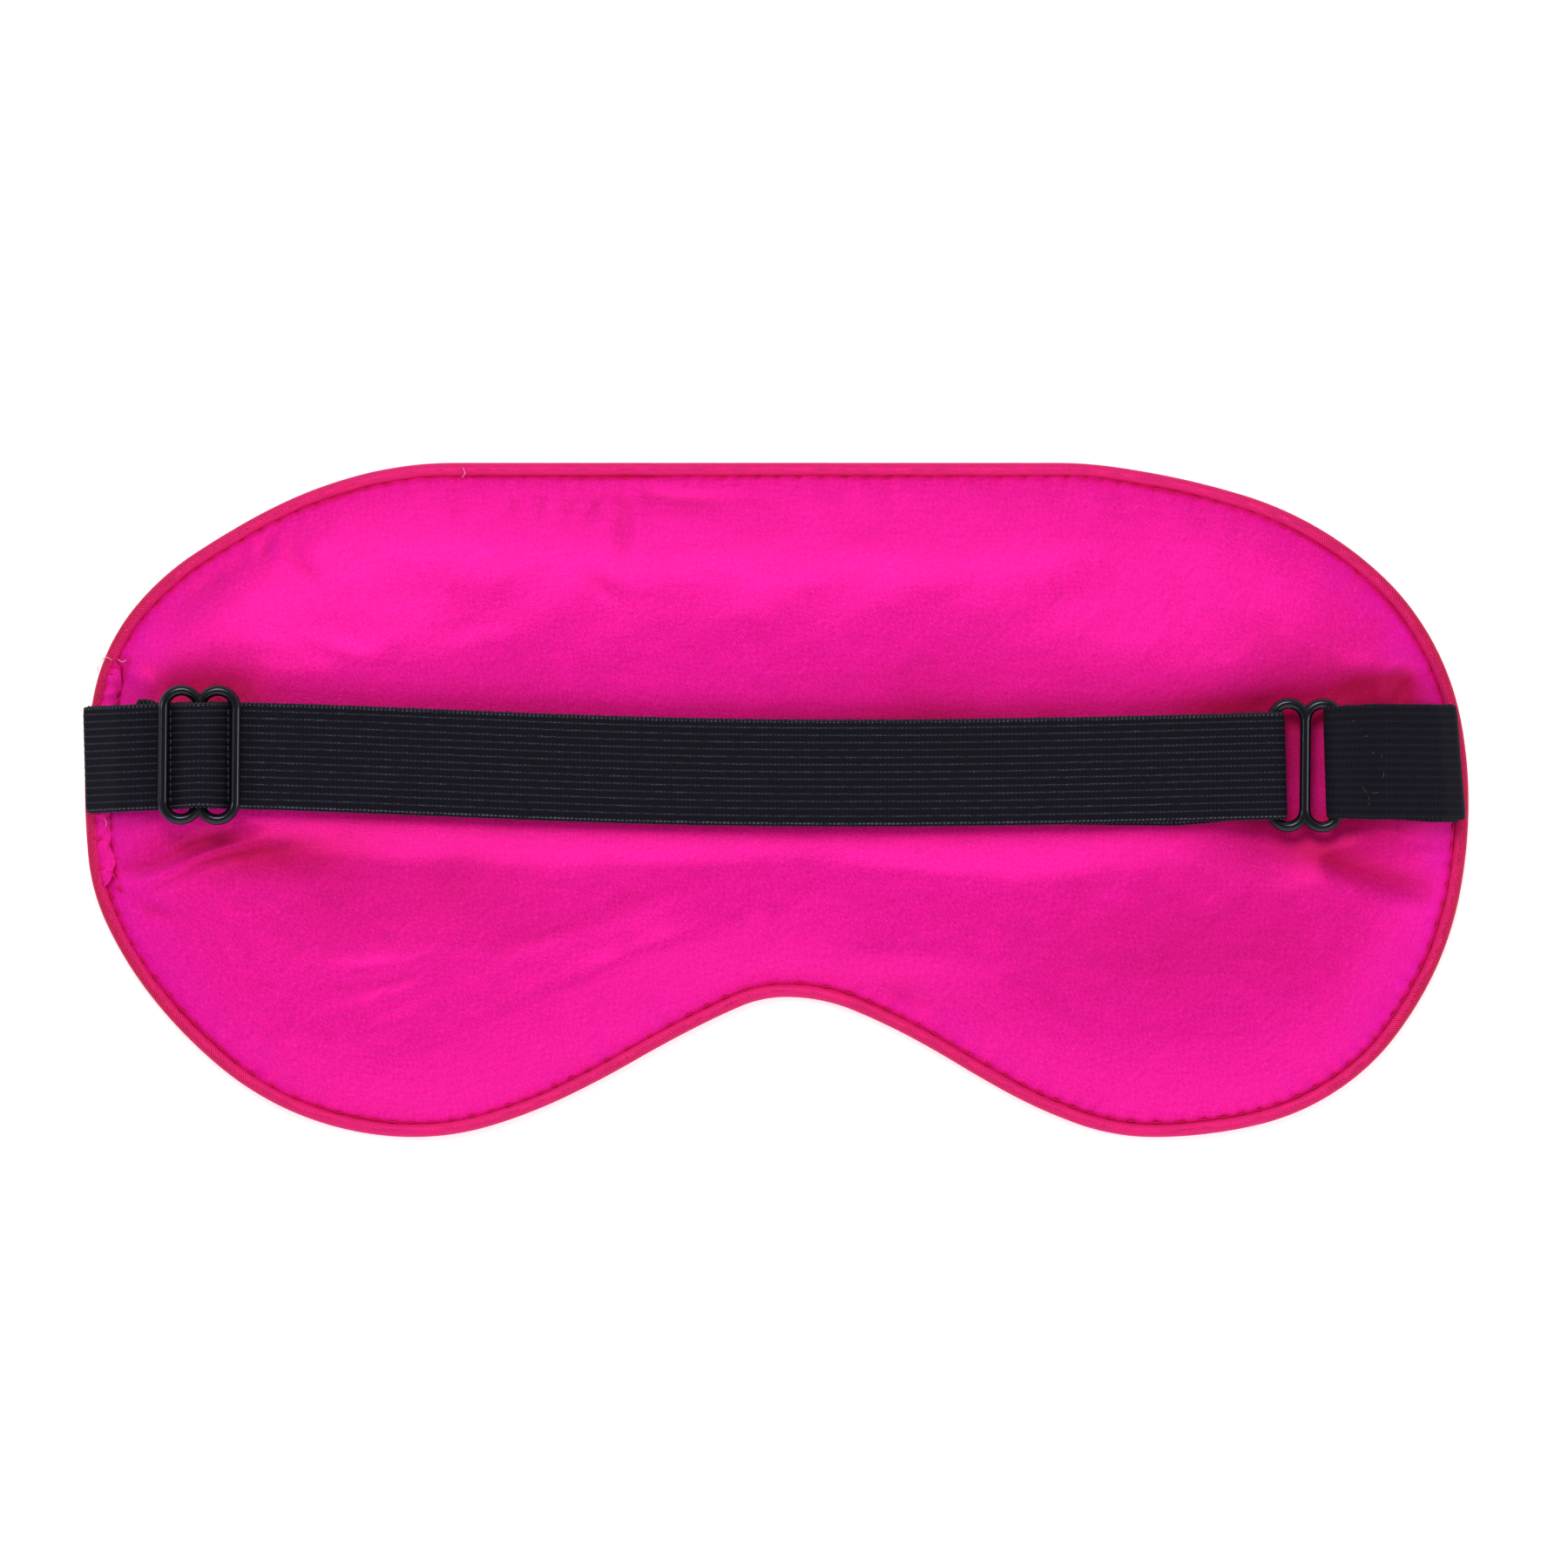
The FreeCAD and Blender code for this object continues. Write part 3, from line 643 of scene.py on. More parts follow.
# Soft creases of the face side: centre x and y, direction in degrees, half length, half width
# and depth, all in millimetres. A negative depth is a ridge.
CREASES = (
    (-22.3, 40, 100, 4.5, 1.3, 0.3), (-20.5, 40.5, 100, 4.5, 1.1, -0.22),
    (-25, 31.2, -45, 3, 0.9, 0.24), (-26.4, 42.4, 75, 2.4, 0.8, 0.35),
    (-29.5, 43, 82, 2.2, 0.8, 0.3), (-33.5, 43.2, 95, 2, 0.8, 0.28),
    (-37.5, 43, 90, 2, 0.8, 0.22), (-14, 43.5, 0, 8, 1.6, 0.35),
    (-73.5, 36.9, 75, 3, 1.2, 0.4), (-68.5, 33.5, 125, 3.5, 1.2, 0.35),
    (-66, 36, 60, 2.5, 1, -0.2), (-82, 30.5, 40, 6, 2.5, 0.4),
    (-84, 16.5, 6, 7.5, 4.2, 0.85), (-92, 19, 120, 3, 1.2, -0.4),
    (-61, 20.5, 160, 4.5, 0.9, -0.25), (-57.5, 18.5, 30, 4, 1, 0.2),
    (-42, 22.5, 15, 6, 0.9, -0.14), (25, 11, 4, 28, 9, 0.45),
    (10, 28, 12, 30, 5, -0.28), (75, 15.5, 12, 13, 8.5, 0.6),
    (74, 5, 0, 13, 12, 0.45),
    (88, 20, 10, 5, 2, -0.45), (-40, 14, 2, 20, 5, 0.2),
    (89.5, 16, 60, 3.5, 1.6, 0.55), (88, 30, -35, 4, 1, 0.28),
    (84, 34, -40, 3, 0.9, 0.24), (-81, -8.2, 17, 12, 0.8, -0.22),
    (-82, -9.8, 17, 11, 1, 0.25), (-88, -6.8, 20, 4, 0.8, -0.2),
    (-92, -9, 15, 4, 1.2, 0.45), (-90, -16, -20, 4, 1.2, 0.35),
    (-57, -23.8, 3, 12, 1.2, -0.24), (-53, -26.8, 22, 10, 1, -0.22),
    (-55, -25.4, 12, 10, 1, 0.16), (-57, -32.5, 20, 10, 1.5, -0.18),
    (-70, -34.5, 25, 7, 1.3, -0.16), (-22, -24, 22, 24, 2, -0.32),
    (-20, -28, 20, 22, 3, 0.2), (-30, -18, 20, 18, 2.5, 0.22),
    (0.5, -19, 85, 6, 1.6, -0.35), (-4.5, -21, 65, 6, 1.2, 0.24),
    (18, -23, 3, 12, 2.4, -0.5), (16, -27.5, -15, 10, 1.8, 0.32),
    (-30, -30, 22, 30, 6, -0.45), (-55, -14, 8, 22, 7, 0.4),
    (62, -20, 0, 26, 9, 0.35), (0, -22, 0, 16, 5, -0.35),
    (24, -8.8, -8, 8, 2.4, -0.38), (48, -14.5, 42, 4.5, 0.9, -0.22),
    (62, -16, 36, 9, 0.9, -0.22), (60, -18, 36, 9, 1.1, 0.18),
    (91, -12.5, -10, 6, 2.2, 0.55), (94, -8, 0, 3, 1.4, -0.4),
    (82, -9.5, -15, 9, 2, 0.55), (-84, -6.5, 8, 7, 1.8, 0.5),
)


# Shade where the satin is drawn down beside the slider, the ring and the tab: centre x and y,
# half length, half height and strength.
HOLLOWS = (
    (-79, 15, 13, 4.5, 0.65), (-74, -7.5, 15, 4, 0.8),
    (87.5, 16, 6.5, 3.4, 0.95), (66, 14, 14, 3, 0.28), (80, -6.5, 14, 4, 0.5),
)


def hollow_shade(points):
    shade = np.zeros(len(points))
    for x, y, half_length, half_height, strength in HOLLOWS:
        offset = (points - np.array((x, y))) / np.array((half_length, half_height))
        shade += strength * np.exp(-(offset ** 2).sum(1))
    return shade


def creases(points):
    """Height of the creases at each point, as their lines waver."""
    waver = np.column_stack((fractal(points, 11, 3.3), fractal(points, 11, 6.6)))
    points = points + 1.6 * waver
    height = np.zeros(len(points))
    for x, y, heading, half_length, half_width, depth in CREASES:
        angle = math.radians(heading)
        offset = points - np.array((x, y))
        along = offset @ np.array((math.cos(angle), math.sin(angle))) / half_length
        aside = offset @ np.array((-math.sin(angle), math.cos(angle))) / half_width
        height -= 1.3 * depth * np.exp(-along ** 2 - aside ** 2)
    return height * (1 + 0.45 * fractal(points, 9, 2.4))


def make_cushion(material):
    """Both satin panels over the padding: crowned on the face side, flat where it rests."""
    points, inwards, length, total = closed_outline(ALONG_COUNT)
    rings = ring_points(points, inwards)
    size, count = len(points), len(rings)
    flat = np.concatenate(rings)
    x, y = flat.T
    inset = edge_distance(flat, points)
    aside = y - strap_line(x)
    beside = np.abs(aside)

    drawn = flat @ np.array(((0.30, -0.42), (0.13, 0.91)))
    crown = PAD_TOP - 0.40 + (
        fractal(flat, 34, 1.5) * 0.42 + fractal(flat, 15, 4.2) * 0.20
        + (fractal(drawn, 6, 9.1) * 0.16 + fractal(drawn, 2.6, 5.5) * 0.035))
    sources, swell = simulated_swell(points, inwards)
    crown += spread(sources, swell, flat) * rise(inset, 3, 11) * 0.8
    crown -= 0.18 * bell(aside, 11.0) + 0.6 * (np.maximum(y - 4, 0) / 40) ** 2
    top = SEAM_LEVEL + (crown - SEAM_LEVEL) * cushion_rise(inset)
    folds = creases(flat) * rise(inset, 2, 5)
    top += folds
    # The strap presses the satin flat, most of all where the ring needs room to tilt.
    ring_room = 1.7 * bell(x - RING[0] + 0.5, 12.0)
    pressed = PAD_TOP + 0.02 - ring_room + 0.13 * np.maximum(beside - 9.3, 0) ** 1.2
    top = np.where(np.abs(x) < 92, -np.logaddexp(-top * 9, -pressed * 9) / 9, top)

    # Puckers: each stitch draws the satin down, and the fullness between stands up.
    scallop = np.tile(np.abs(np.sin(math.pi * stitch_phase(length, total))), count)
    uneven, drape, drawn_in, gap = (
        middle + swing * np.tile(ripple(length, scale, seed), count)
        for middle, swing, scale, seed in (
            (0.6, 0.5, 9.0, 3.1), (0, 1, 4.2, 8.7), (0.62, 0.9, 16.0, 5.2), (0.55, 0.9, 1.3, 6.1)))
    near, far = bell(inset - 2.2, 1.5), bell(inset - 4.2, 2.6)
    lower_right = rise(x, 20, 60) * rise(-y, 0, 20)
    top += uneven * near * (scallop - 0.62) * 0.32 * (1 + 1.4 * lower_right) + far * drape * 0.34
    top[:size] = SEAM_LEVEL

    # The outer face rests on the surface and rises to the seam over its last few millimetres.
    low = SEAM_LEVEL * np.clip((FLAT_INSET - inset) / (FLAT_INSET - RIM_INSET), 0, 1) ** 1.7
    low = np.maximum(low + near * (scallop - 0.6) * 0.12 * (inset < 5), 0.0)
    low[inset > FLAT_INSET] = 0.0

    # The last ring lies double along the middle line, and both faces share the rim.
    vertices = np.concatenate((np.column_stack((flat, top)), np.column_stack((flat, low))))
    index = np.arange(len(vertices)).reshape(2, count, size)
    index[:, -1, :size // 2:-1] = index[:, -1, 1:size // 2]
    index[1, 0] = index[0, 0]
    faces = []
    for side in (0, 1):
        numbers = index[side].ravel()
        for corners in grid_faces(count, size):
            unique = list(dict.fromkeys(int(numbers[c]) for c in corners))
            if len(unique) > 2:
                faces.append(unique if side == 0 else unique[::-1])
    used = np.unique([c for face in faces for c in face])
    renumber = np.full(len(vertices), -1)
    renumber[used] = np.arange(len(used))
    faces = [[int(renumber[c]) for c in face] for face in faces]
    item = new_object("satin_cushion", vertices[used], faces, material, 80)

    # Paint: painted shade in dark crimson along the seam line's crevice and in the gaps beside the flap, and
    # painted crimson shade in the folds, the hollows by the hardware, beside the strap's edges and in the
    # ring's gap.
    hole = np.clip(1 - scallop * 1.5, 0, 1)
    # Painted shade in the seam's crevice, darker at each stitch hole, and in the gaps beside the flap.
    painted_crevice_shade = np.clip((2.62 - inset) / 0.4, 0, 1) * (0.70 + 0.30 * hole)
    painted_crevice_shade *= np.clip(drawn_in + 0.3 * lower_right, 0.15, 1)
    beside_flap = (x < -60) & (y < FLAP_TOP) & (y > FLAP_BOTTOM) & (inset < 3.95)
    painted_crevice_shade = np.where(beside_flap, np.clip(gap, 0.1, 1), painted_crevice_shade)
    # Painted shade beside the strap's edges and in the ring's gap, added to that in the folds and hollows.
    along_strap = 0.42 * bell(beside - 7.9, 2.2) * rise(x, -72, -60)
    in_ring = 0.25 * bell(x - RING[0], 4.5) * bell(aside, 6.5)
    shade = np.clip(-folds, 0, 1) * 0.6 + hollow_shade(flat) + along_strap + in_ring
    for name, values in (("painted_crevice_shade", painted_crevice_shade), ("painted_shade", np.clip(shade, 0, 1))):
        put_attribute(item, name, np.tile(values, 2)[used])
    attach(item, "mask")
    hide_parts("inner_panel", "outer_panel", "padding", "blackout_liner")


# ---- piping


def make_piping(material):
    """Round piping along the whole edge, a little uneven as sewn by hand."""
    points, inwards, length, total = closed_outline(PIPING_COUNT)
    size = len(points)
    around = 18
    wave = ripple(length, 6.0, 1.7) * np.clip((total - length) / 12.0, 0, 1)
    radius = PIPING_RADIUS * (0.985 + 0.05 * wave)
    centre = points + inwards * (PIPING_RADIUS + 0.06 * wave)[:, None]
    # Share of painted shade on the piping's outward side, most at the mask's left and right ends.
    sideways = np.clip(0.25 + np.abs(inwards[:, 0]) ** 1.5, 0, 1)
    vertices, turn, painted_side_shade = [], [], []
    for k in range(around):
        angle = 2 * math.pi * k / around
        outward = -inwards * (np.cos(angle) * radius)[:, None]
        height = SEAM_LEVEL + np.sin(angle) * radius
        vertices.append(np.column_stack((centre + outward, height)))
        turn.append(np.full(size, angle * PIPING_RADIUS))
        painted_side_shade.append(sideways * (0.30 + 0.70 * np.clip(0.5 + math.cos(angle), 0, 1)))
    faces = grid_faces(around, size, close_rows=True)
    item = new_object("piping", np.concatenate(vertices), faces, material, 180)
    put_attribute(item, "along", np.tile(length, around))
    put_attribute(item, "around", np.concatenate(turn))
    put_attribute(item, "painted_side_shade", np.concatenate(painted_side_shade))
    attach(item, "mask")
    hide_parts("piping_cover")


# ---- elastic

ROUND = 0.999       # leaves a short straight between the two quarters of a half turn
LOOP_END = SLIDER[0] + 14.0     # the sewn end of the loop on the slider
FOLD_RADIUS = 0.9   # of the elastic where it comes out of a side seam
FOLD_REACH = math.tan(math.radians(135 / 2))    # from a 135 degree turn's arc to its corner, in radii


def rounded_path(corners, step=0.8):
    """Points in the XZ plane along straight runs joined by arcs. A corner is x, z, radius."""
    places = [np.array(corner[:2], float) for corner in corners]
    line = [places[0]]

    def run_to(target):
        start = line[-1]
        length = np.linalg.norm(target - start)
        count = max(1, int(round(length / step))) if length > 1e-6 else 0
        for number in range(1, count + 1):
            line.append(start + (target - start) * number / count)

    for number in range(1, len(places) - 1):
        corner, radius = places[number], corners[number][2]
        before = places[number - 1] - corner
        after = places[number + 1] - corner
        before /= np.linalg.norm(before)
        after /= np.linalg.norm(after)
        half_angle = math.acos(max(-1.0, min(1.0, before @ after))) / 2
        start = corner + before * radius / math.tan(half_angle)
        run_to(start)
        bisector = (before + after) / np.linalg.norm(before + after)
        centre = corner + bisector * radius / math.sin(half_angle)
        turn = math.pi - 2 * half_angle
        count = max(3, int(turn / math.radians(9)))
        for k in range(1, count + 1):
            angle = turn * k / count
            line.append(centre + (start - centre) * math.cos(angle) - before * radius * math.sin(angle))
    run_to(places[-1])
    return np.array(line)


def outward_of(line):
    """The upper side of a path in XZ that runs towards +X."""
    tangent = unit_tangents(line)
    return np.stack((-tangent[:, 1], tangent[:, 0]), axis=1)


def section_of_strap():
    """Across and outward offsets round the strap's section, ribbed on both faces."""
    half = STRAP_WIDTH / 2
    across = np.linspace(-half + 0.25, half - 0.25, 86)
    rib = 0.035 * np.abs(np.cos(math.pi * across / RIB_PITCH)) ** 6
    thin = HALF_STRAP - 0.03 - 0.10 * np.clip((np.abs(across) - half + 1.0), 0, 1)
    top = np.column_stack((across, thin + rib))
    right = np.array(((half - 0.06, 0.20), (half, 0.0), (half - 0.06, -0.20)))
    return np.concatenate((top, right, (top * (1, -1))[::-1], -right))


SECTION = section_of_strap()


def slant(x):
    """Slant of the elastic's edges across its width, where it is folded, as a tangent."""
    return np.interp(x, (-100, -96, 62, 72, 80, 90, 97, 100), (0.03, 0, 0, 0.03, 0.03, 0, 0.08, 0.08))


def ribbon(name, line, material, along_start, centre, width, lean):
    """Flat elastic along a path in XZ. The last three are functions of x."""
    x, z = line.T[:, :, None]
    aside, up = outward_of(line).T[:, :, None] * SECTION[:, 1]
    side = width(x) * SECTION[:, 0]
    vertices = np.stack((x + aside - side * lean(x), centre(x) + side, z + up), axis=2)
    size, count = len(SECTION), len(line)
    faces = grid_faces(count, size)
    faces += [tuple(range(size)), tuple((count - 1) * size + k for k in reversed(range(size)))]
    item = new_object(name, vertices.reshape(-1, 3), faces, material, 60)
    length = lengths_along(line)
    put_attribute(item, "along", np.repeat(along_start + length, size))
    put_attribute(item, "across", np.tile(SECTION[:, 0], count))
    return item


def selvedge_beads(name, line, material, centre, width, lean):
    """The small yarn loops that stand out along both edges of the elastic."""
    length = lengths_along(line)
    stations = np.arange(BEAD_PITCH / 2, length[-1], BEAD_PITCH)
    x, z = (np.interp(stations, length, line[:, axis]) for axis in (0, 1))
    beads = []
    for side in (-1, 1):
        jitter = rng.uniform(-0.03, 0.03, (len(x), 2))
        edge = side * STRAP_WIDTH / 2 * width(x)
        beads.append(np.column_stack((x - edge * lean(x) + jitter[:, 0], centre(x) + edge + jitter[:, 1], z)))
    beads = np.concatenate(beads)
    tips = np.array(((1, 0, 0), (-1, 0, 0), (0, 1, 0), (0, -1, 0), (0, 0, 1), (0, 0, -1)), float)
    sides = ((0, 2, 4), (2, 1, 4), (1, 3, 4), (3, 0, 4), (2, 0, 5), (1, 2, 5), (3, 1, 5), (0, 3, 5))
    vertices = beads[:, None] + tips * (0.24, 0.17, 0.22)
    faces = [tuple(6 * number + c for c in face) for number in range(len(beads)) for face in sides]
    item = new_object(name, vertices.reshape(-1, 3), faces, material, 180)
    return item


def elastic_piece(name, line, material, edges=None, edge_line=None, along_start=0.0,
                  centre=strap_line, width=np.ones_like, lean=np.zeros_like):
    """A stretch of elastic, and with a material for its edges also their beads."""
    rules = (centre, width, lean)
    items = [ribbon(name, line, material, along_start, *rules)]
    if edges:
        edge_line = line if edge_line is None else edge_line
        items.append(selvedge_beads(name.removesuffix("_end") + "_edges", edge_line, edges, *rules))
    return items


def seam_path(side, fold_x, radius, level, run_level, run_radius, end_x):
    """From a side seam, out and folded back over itself, up to the run of the elastic."""
    slope_x = fold_x + side * radius * FOLD_REACH
    return rounded_path((
        (fold_x - side * 1.3, level, 0),
        (slope_x, level, radius),
        (slope_x - side * (run_level - level), run_level, run_radius),
        (end_x, run_level, 0),
    ), 0.5)


def make_strap(material, edges):
    """The long elastic, in the pieces that its joints part it into."""
    fold_x = STRAP_LOW[0] + HALF_STRAP + FOLD_RADIUS + 0.07
    bar_x = RING[0] - RING_REACH
    blend_x, turn_x, return_x = -88.6, 62.0, bar_x - 4.75

    left = seam_path(-1, fold_x, FOLD_RADIUS, SEWN_LEVEL, RUN_LEVEL, 3.0, blend_x)
    above = left[left[:, 1] > SEWN_LEVEL + 1.5]
    for item in elastic_piece("strap_left_end", left, material, edges, above, -12.0, lean=slant):
        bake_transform(item)

    run = rounded_path(((blend_x, RUN_LEVEL, 0), (turn_x, RUN_LEVEL, 0)), 1.0)
    items = elastic_piece("strap_run", run, material, edges)
    for item in items:
        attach(item, "band")
    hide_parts("elastic_strap")

    turn = rounded_path((
        (turn_x, RUN_LEVEL, 0),
        (turn_x + 1.5, RUN_LEVEL, 8.0),
        (turn_x + 6.5, RING_TOP, 8.0),
        (bar_x + WRAP, RING_TOP, WRAP * ROUND),
        (bar_x + WRAP, RETURN_LEVEL, WRAP * ROUND),
        (return_x, RETURN_LEVEL, 0),
    ), 0.6)
    for item in elastic_piece("strap_turn", turn, material, edges, None, turn_x - blend_x, lean=slant):
        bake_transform(item)

    def return_line(x):
        """A little off the upper run, so that its edge shows below it."""
        shift = -0.6 * np.clip((x - 40) / 18, 0, 1) * np.clip((return_x - x) / 9, 0, 1)
        return strap_line(x) + shift

    back = rounded_path(((LOOP_END, RETURN_LEVEL, 0), (return_x, RETURN_LEVEL, 0)), 1.5)
    for item in elastic_piece("strap_return", back, material, edges, centre=return_line):
        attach(item, "band")
        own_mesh(item)


def make_slider_weave(material, edges, yarn_highlight_material):
    """The strap where it crosses the slider, and the sewn loop on the slider's centre bar."""
    x, z = SLIDER[0], SLIDER[2]
    over = WRAP + STRAP_THICK + GAP
    slope = math.asin((WRAP + over) / SLIDER_REACH)
    under_x = SLIDER_REACH - WRAP * math.tan(slope / 2)
    over_x = over * math.tan(slope / 2)
    foot = RUN_LEVEL - 0.05
    corners = (SLIDER_REACH + 0.7, foot, 0), (under_x, foot, WRAP), (over_x, z + over, over * 0.995)
    before = [(x - reach, *rest) for reach, *rest in corners]
    after = [(x + reach, *rest) for reach, *rest in reversed(corners)]
    crossing = rounded_path(before + after, 0.5)

    def waist(place):
        return 0.975 + 0.02 * np.minimum(1.0, np.abs(place - x) / 4.0)

    inner = crossing[(np.abs(crossing[:, 0] - x) < SLIDER_REACH)]
    for item in elastic_piece("strap_crossing", crossing, material, edges, inner, 5.0, width=waist):
        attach(item, "slider_unit")

    # Where the strap comes up beside each bar, its bend opens the yarn between its ribs: short pale threads
    # there, whose pale colour is a painted highlight of the ribs catching light.
    surface = crossing + outward_of(crossing) * (HALF_STRAP + 0.01)
    yarns = []
    for side in (-1, 1):
        half = surface[(surface[:, 0] - x) * side > 0][::side]
        yarn_x = x + side * (SLIDER_REACH - WIRE_RADIUS - 0.22)
        level = np.interp(yarn_x * side, half[:, 0] * side, half[:, 1])
        for rib in range(-6, 7):
            middle = strap_line(yarn_x) + rib * RIB_PITCH * 0.98
            yarns.append([(yarn_x, middle + reach, level) for reach in (-0.36, 0.0, 0.36)])
    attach(capsule_rows("strap_crossing_yarn_highlight", yarns, 0.085, yarn_highlight_material), "slider_unit")

    foot_x = (WRAP + (z - LOOP_LEVEL) * math.cos(slope)) / math.sin(slope)
    top_x = WRAP * math.tan(slope / 2)
    slack_x = x - 8.8
    loop = rounded_path((
        (LOOP_END - 0.4, RETURN_LEVEL, 0),
        (slack_x, RETURN_LEVEL, LAYER / 2 * 0.99),
        (slack_x, LOOP_LEVEL, LAYER / 2 * 0.99),
        (x - foot_x, LOOP_LEVEL, STRAP_THICK),
        (x - top_x, z + WRAP, WRAP * 0.995),
        (x + top_x, z + WRAP, WRAP * 0.995),
        (x + foot_x, LOOP_LEVEL, STRAP_THICK),
        (LOOP_END, LOOP_LEVEL, 0),
    ), 0.8)

    def loop_line(place):
        return strap_line(place) + 1.05 * np.clip((x - 4.5 - place) / 3.0, 0, 1)

    def loop_width(place):
        return np.full_like(place, 0.95)

    slack = loop[loop[:, 0] < x - 6.0]
    for item in elastic_piece("sewn_loop", loop, material, edges, slack, 30.0, loop_line, loop_width):
        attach(item, "slider_unit")


def make_tab(material, edges):
    """The short elastic between the ring and the right side seam, folded double."""
    bar_x = RING[0] + RING_REACH
    outer_radius = FOLD_RADIUS + STRAP_THICK + GAP
    fold_x = TAB_HIGH[0] - HALF_STRAP - outer_radius - 0.07
    inner_z = SEWN_LEVEL + STRAP_THICK + GAP
    split_x = 88.0

    def tab_line(x):
        return strap_line(x) + np.interp(x, (77, 80, 88), (0.3, 0.45, 0.65))

    def low_line(x):
        return tab_line(x) - np.interp(x, (88, 94), (0.0, 0.4))

    def tab_width(x):
        return np.interp(x, (78, 86), (1.03, 1.08))

    shape = dict(width=tab_width, lean=slant)
    upper = seam_path(1, fold_x, outer_radius, SEWN_LEVEL, LOOP_LEVEL, 2.0, split_x)
    lower = seam_path(1, fold_x, FOLD_RADIUS, inner_z, RETURN_LEVEL, 1.2, split_x)
    above = upper[upper[:, 1] > SEWN_LEVEL + 2.5]
    items = elastic_piece("tab_upper", upper, material, edges, above, 100.0, tab_line, **shape)
    items += elastic_piece("tab_lower", lower, material, None, None, 100.0, low_line, **shape)
    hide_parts("ring_tab")
    ends = dict(start=((fold_x - 1.4) * MM, 0, 0), end=((split_x + 0.6) * MM, 0, 0))
    for item in items:
        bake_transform(item)

    turn = rounded_path((
        (split_x, LOOP_LEVEL, 0),
        (bar_x + 5.6, LOOP_LEVEL, 3.0),
        (bar_x + 1.6, RING_TOP, 3.0),
        (bar_x - WRAP, RING_TOP, WRAP * ROUND),
        (bar_x - WRAP, RETURN_LEVEL, WRAP * ROUND),
        (split_x, RETURN_LEVEL, 0),
    ), 0.5)
    ends = dict(start=((split_x - 1.0) * MM, 0, 0), end=((bar_x + 1.2) * MM, 0, 0))
    for item in elastic_piece("tab_turn", turn, material, edges, None, 112.0, tab_line, **shape):
        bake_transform(item)
    return turn[:np.argmax(turn[:, 0] < bar_x)][::-1], ends


# ---- stitches


def capsule_rows(name, segments, radius, material):
    """Short threads, each a small bent tube through its points."""
    vertices, faces = [], []
    around = 6
    for points in segments:
        points = np.asarray(points, float)
        tangent = unit_tangents(points)
        side = np.cross(tangent, (0.0, 0.0, 1.0))
        side /= np.linalg.norm(side, axis=1)[:, None] + 1e-9
        up = np.cross(side, tangent)
        start, count = len(vertices), len(points)
        for number in range(count):
            girth = radius * (0.55 if number in (0, count - 1) else 1.0)
            for k in range(around):
                angle = 2 * math.pi * k / around
                spoke = side[number] * math.cos(angle) + up[number] * math.sin(angle)
                vertices.append(points[number] + spoke * girth)
        faces += grid_faces(count, around, start)
        faces.append(tuple(start + k for k in reversed(range(around))))
        faces.append(tuple(start + (count - 1) * around + k for k in range(around)))
    item = new_object(name, np.array(vertices), faces, material, 70)
    return item


def make_edge_stitches(material):
    """The lockstitches of the edge seam, seen where the satin dips beside the piping."""
    points, inwards, length, total = closed_outline(THREAD_COUNT)
    crossings = np.nonzero(np.diff(np.floor(stitch_phase(length, total))) > 0)[0]
    segments = []
    for number in crossings:
        ahead = points[(number + 1) % len(points)] - points[number]
        ahead /= np.linalg.norm(ahead)
        base = points[number] + inwards[number] * 2.12
        level = SEAM_LEVEL + 0.54 - 0.16 * float(np.clip(base[1] / 20, 0, 1))
        half = 0.62 + 0.15 * rng.uniform(-1, 1)
        rises = ((-1, -0.35), (-0.5, -0.02), (0, 0.04), (0.5, -0.02), (1, -0.35))
        segments.append([(*(base + ahead * half * share), level + rise) for share, rise in rises])
    item = capsule_rows("edge_stitches", segments, 0.12, material)
    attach(item, "mask")
    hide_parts("edge_seam_thread")


def make_flap(material):
    """The folded seam allowances where the left side was left open and closed by hand.

    They are a lumpy strip between piping and cushion.
    """
    points, inwards, length, _ = closed_outline(THREAD_COUNT)
    chosen = (points[:, 0] < -60) & (points[:, 1] < FLAP_TOP) & (points[:, 1] > FLAP_BOTTOM)
    points, inwards, length = points[chosen][::3], inwards[chosen][::3], length[chosen][::3]
    length = length - length[0]
    ends = np.clip(np.minimum(length, length[-1] - length) / 3.0, 0, 1) ** 0.5
    lump = ripple(length, 1.6, 2.2)
    outer = 1.45 - 0.55 * np.clip(lump, -0.2, 1) * ends
    inner = outer + (1.9 + 0.5 * ripple(length, 2.6, 7.7)) * ends + 0.25
    crest = (0.42 + 0.35 * lump) * ends
    across = np.linspace(0, 1, 9)
    rows = []
    for swell, shares in ((1.0, across), (-0.6, across[-2:0:-1])):
        for t in shares:
            inset = outer + (inner - outer) * t
            base = SEAM_LEVEL + 0.75 + 0.62 * t + math.copysign(0.12, swell)
            height = base + swell * crest * math.sin(math.pi * t)
            rows.append(np.column_stack((points + inwards * inset[:, None], height)))
    size, count = len(points), len(rows)
    faces = grid_faces(count, size, close_rows=True, close_columns=False)
    faces.append(tuple(k * size for k in range(count)))
    faces.append(tuple(k * size + size - 1 for k in reversed(range(count))))
    item = new_object("closing_flap", np.concatenate(rows), faces, material, 80)
    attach(item, "mask")
    return points, inwards, length, outer, inner


# Loose ends of thread, each by its points: four along the left side and one at the top edge.
LOOSE_ENDS = (
    ((-97.6, 19.9, 3.3), (-97.2, 20.5, 3.6), (-96.6, 20.6, 3.7), (-96.1, 20.2, 3.6)),
    ((-97.9, 19.5, 3.2), (-98.1, 19.0, 3.3), (-98.0, 18.4, 3.1)),
    ((-95.2, 20.3, 3.9), (-94.5, 19.9, 4.1), (-93.9, 20.2, 4.2)),
    ((-97.2, -2.6, 3.6), (-96.8, -3.2, 3.8), (-96.9, -3.9, 3.7)),
    ((-45.3, 48.0, 2.9), (-45.0, 47.2, 3.1), (-45.4, 46.6, 3.2)),
)


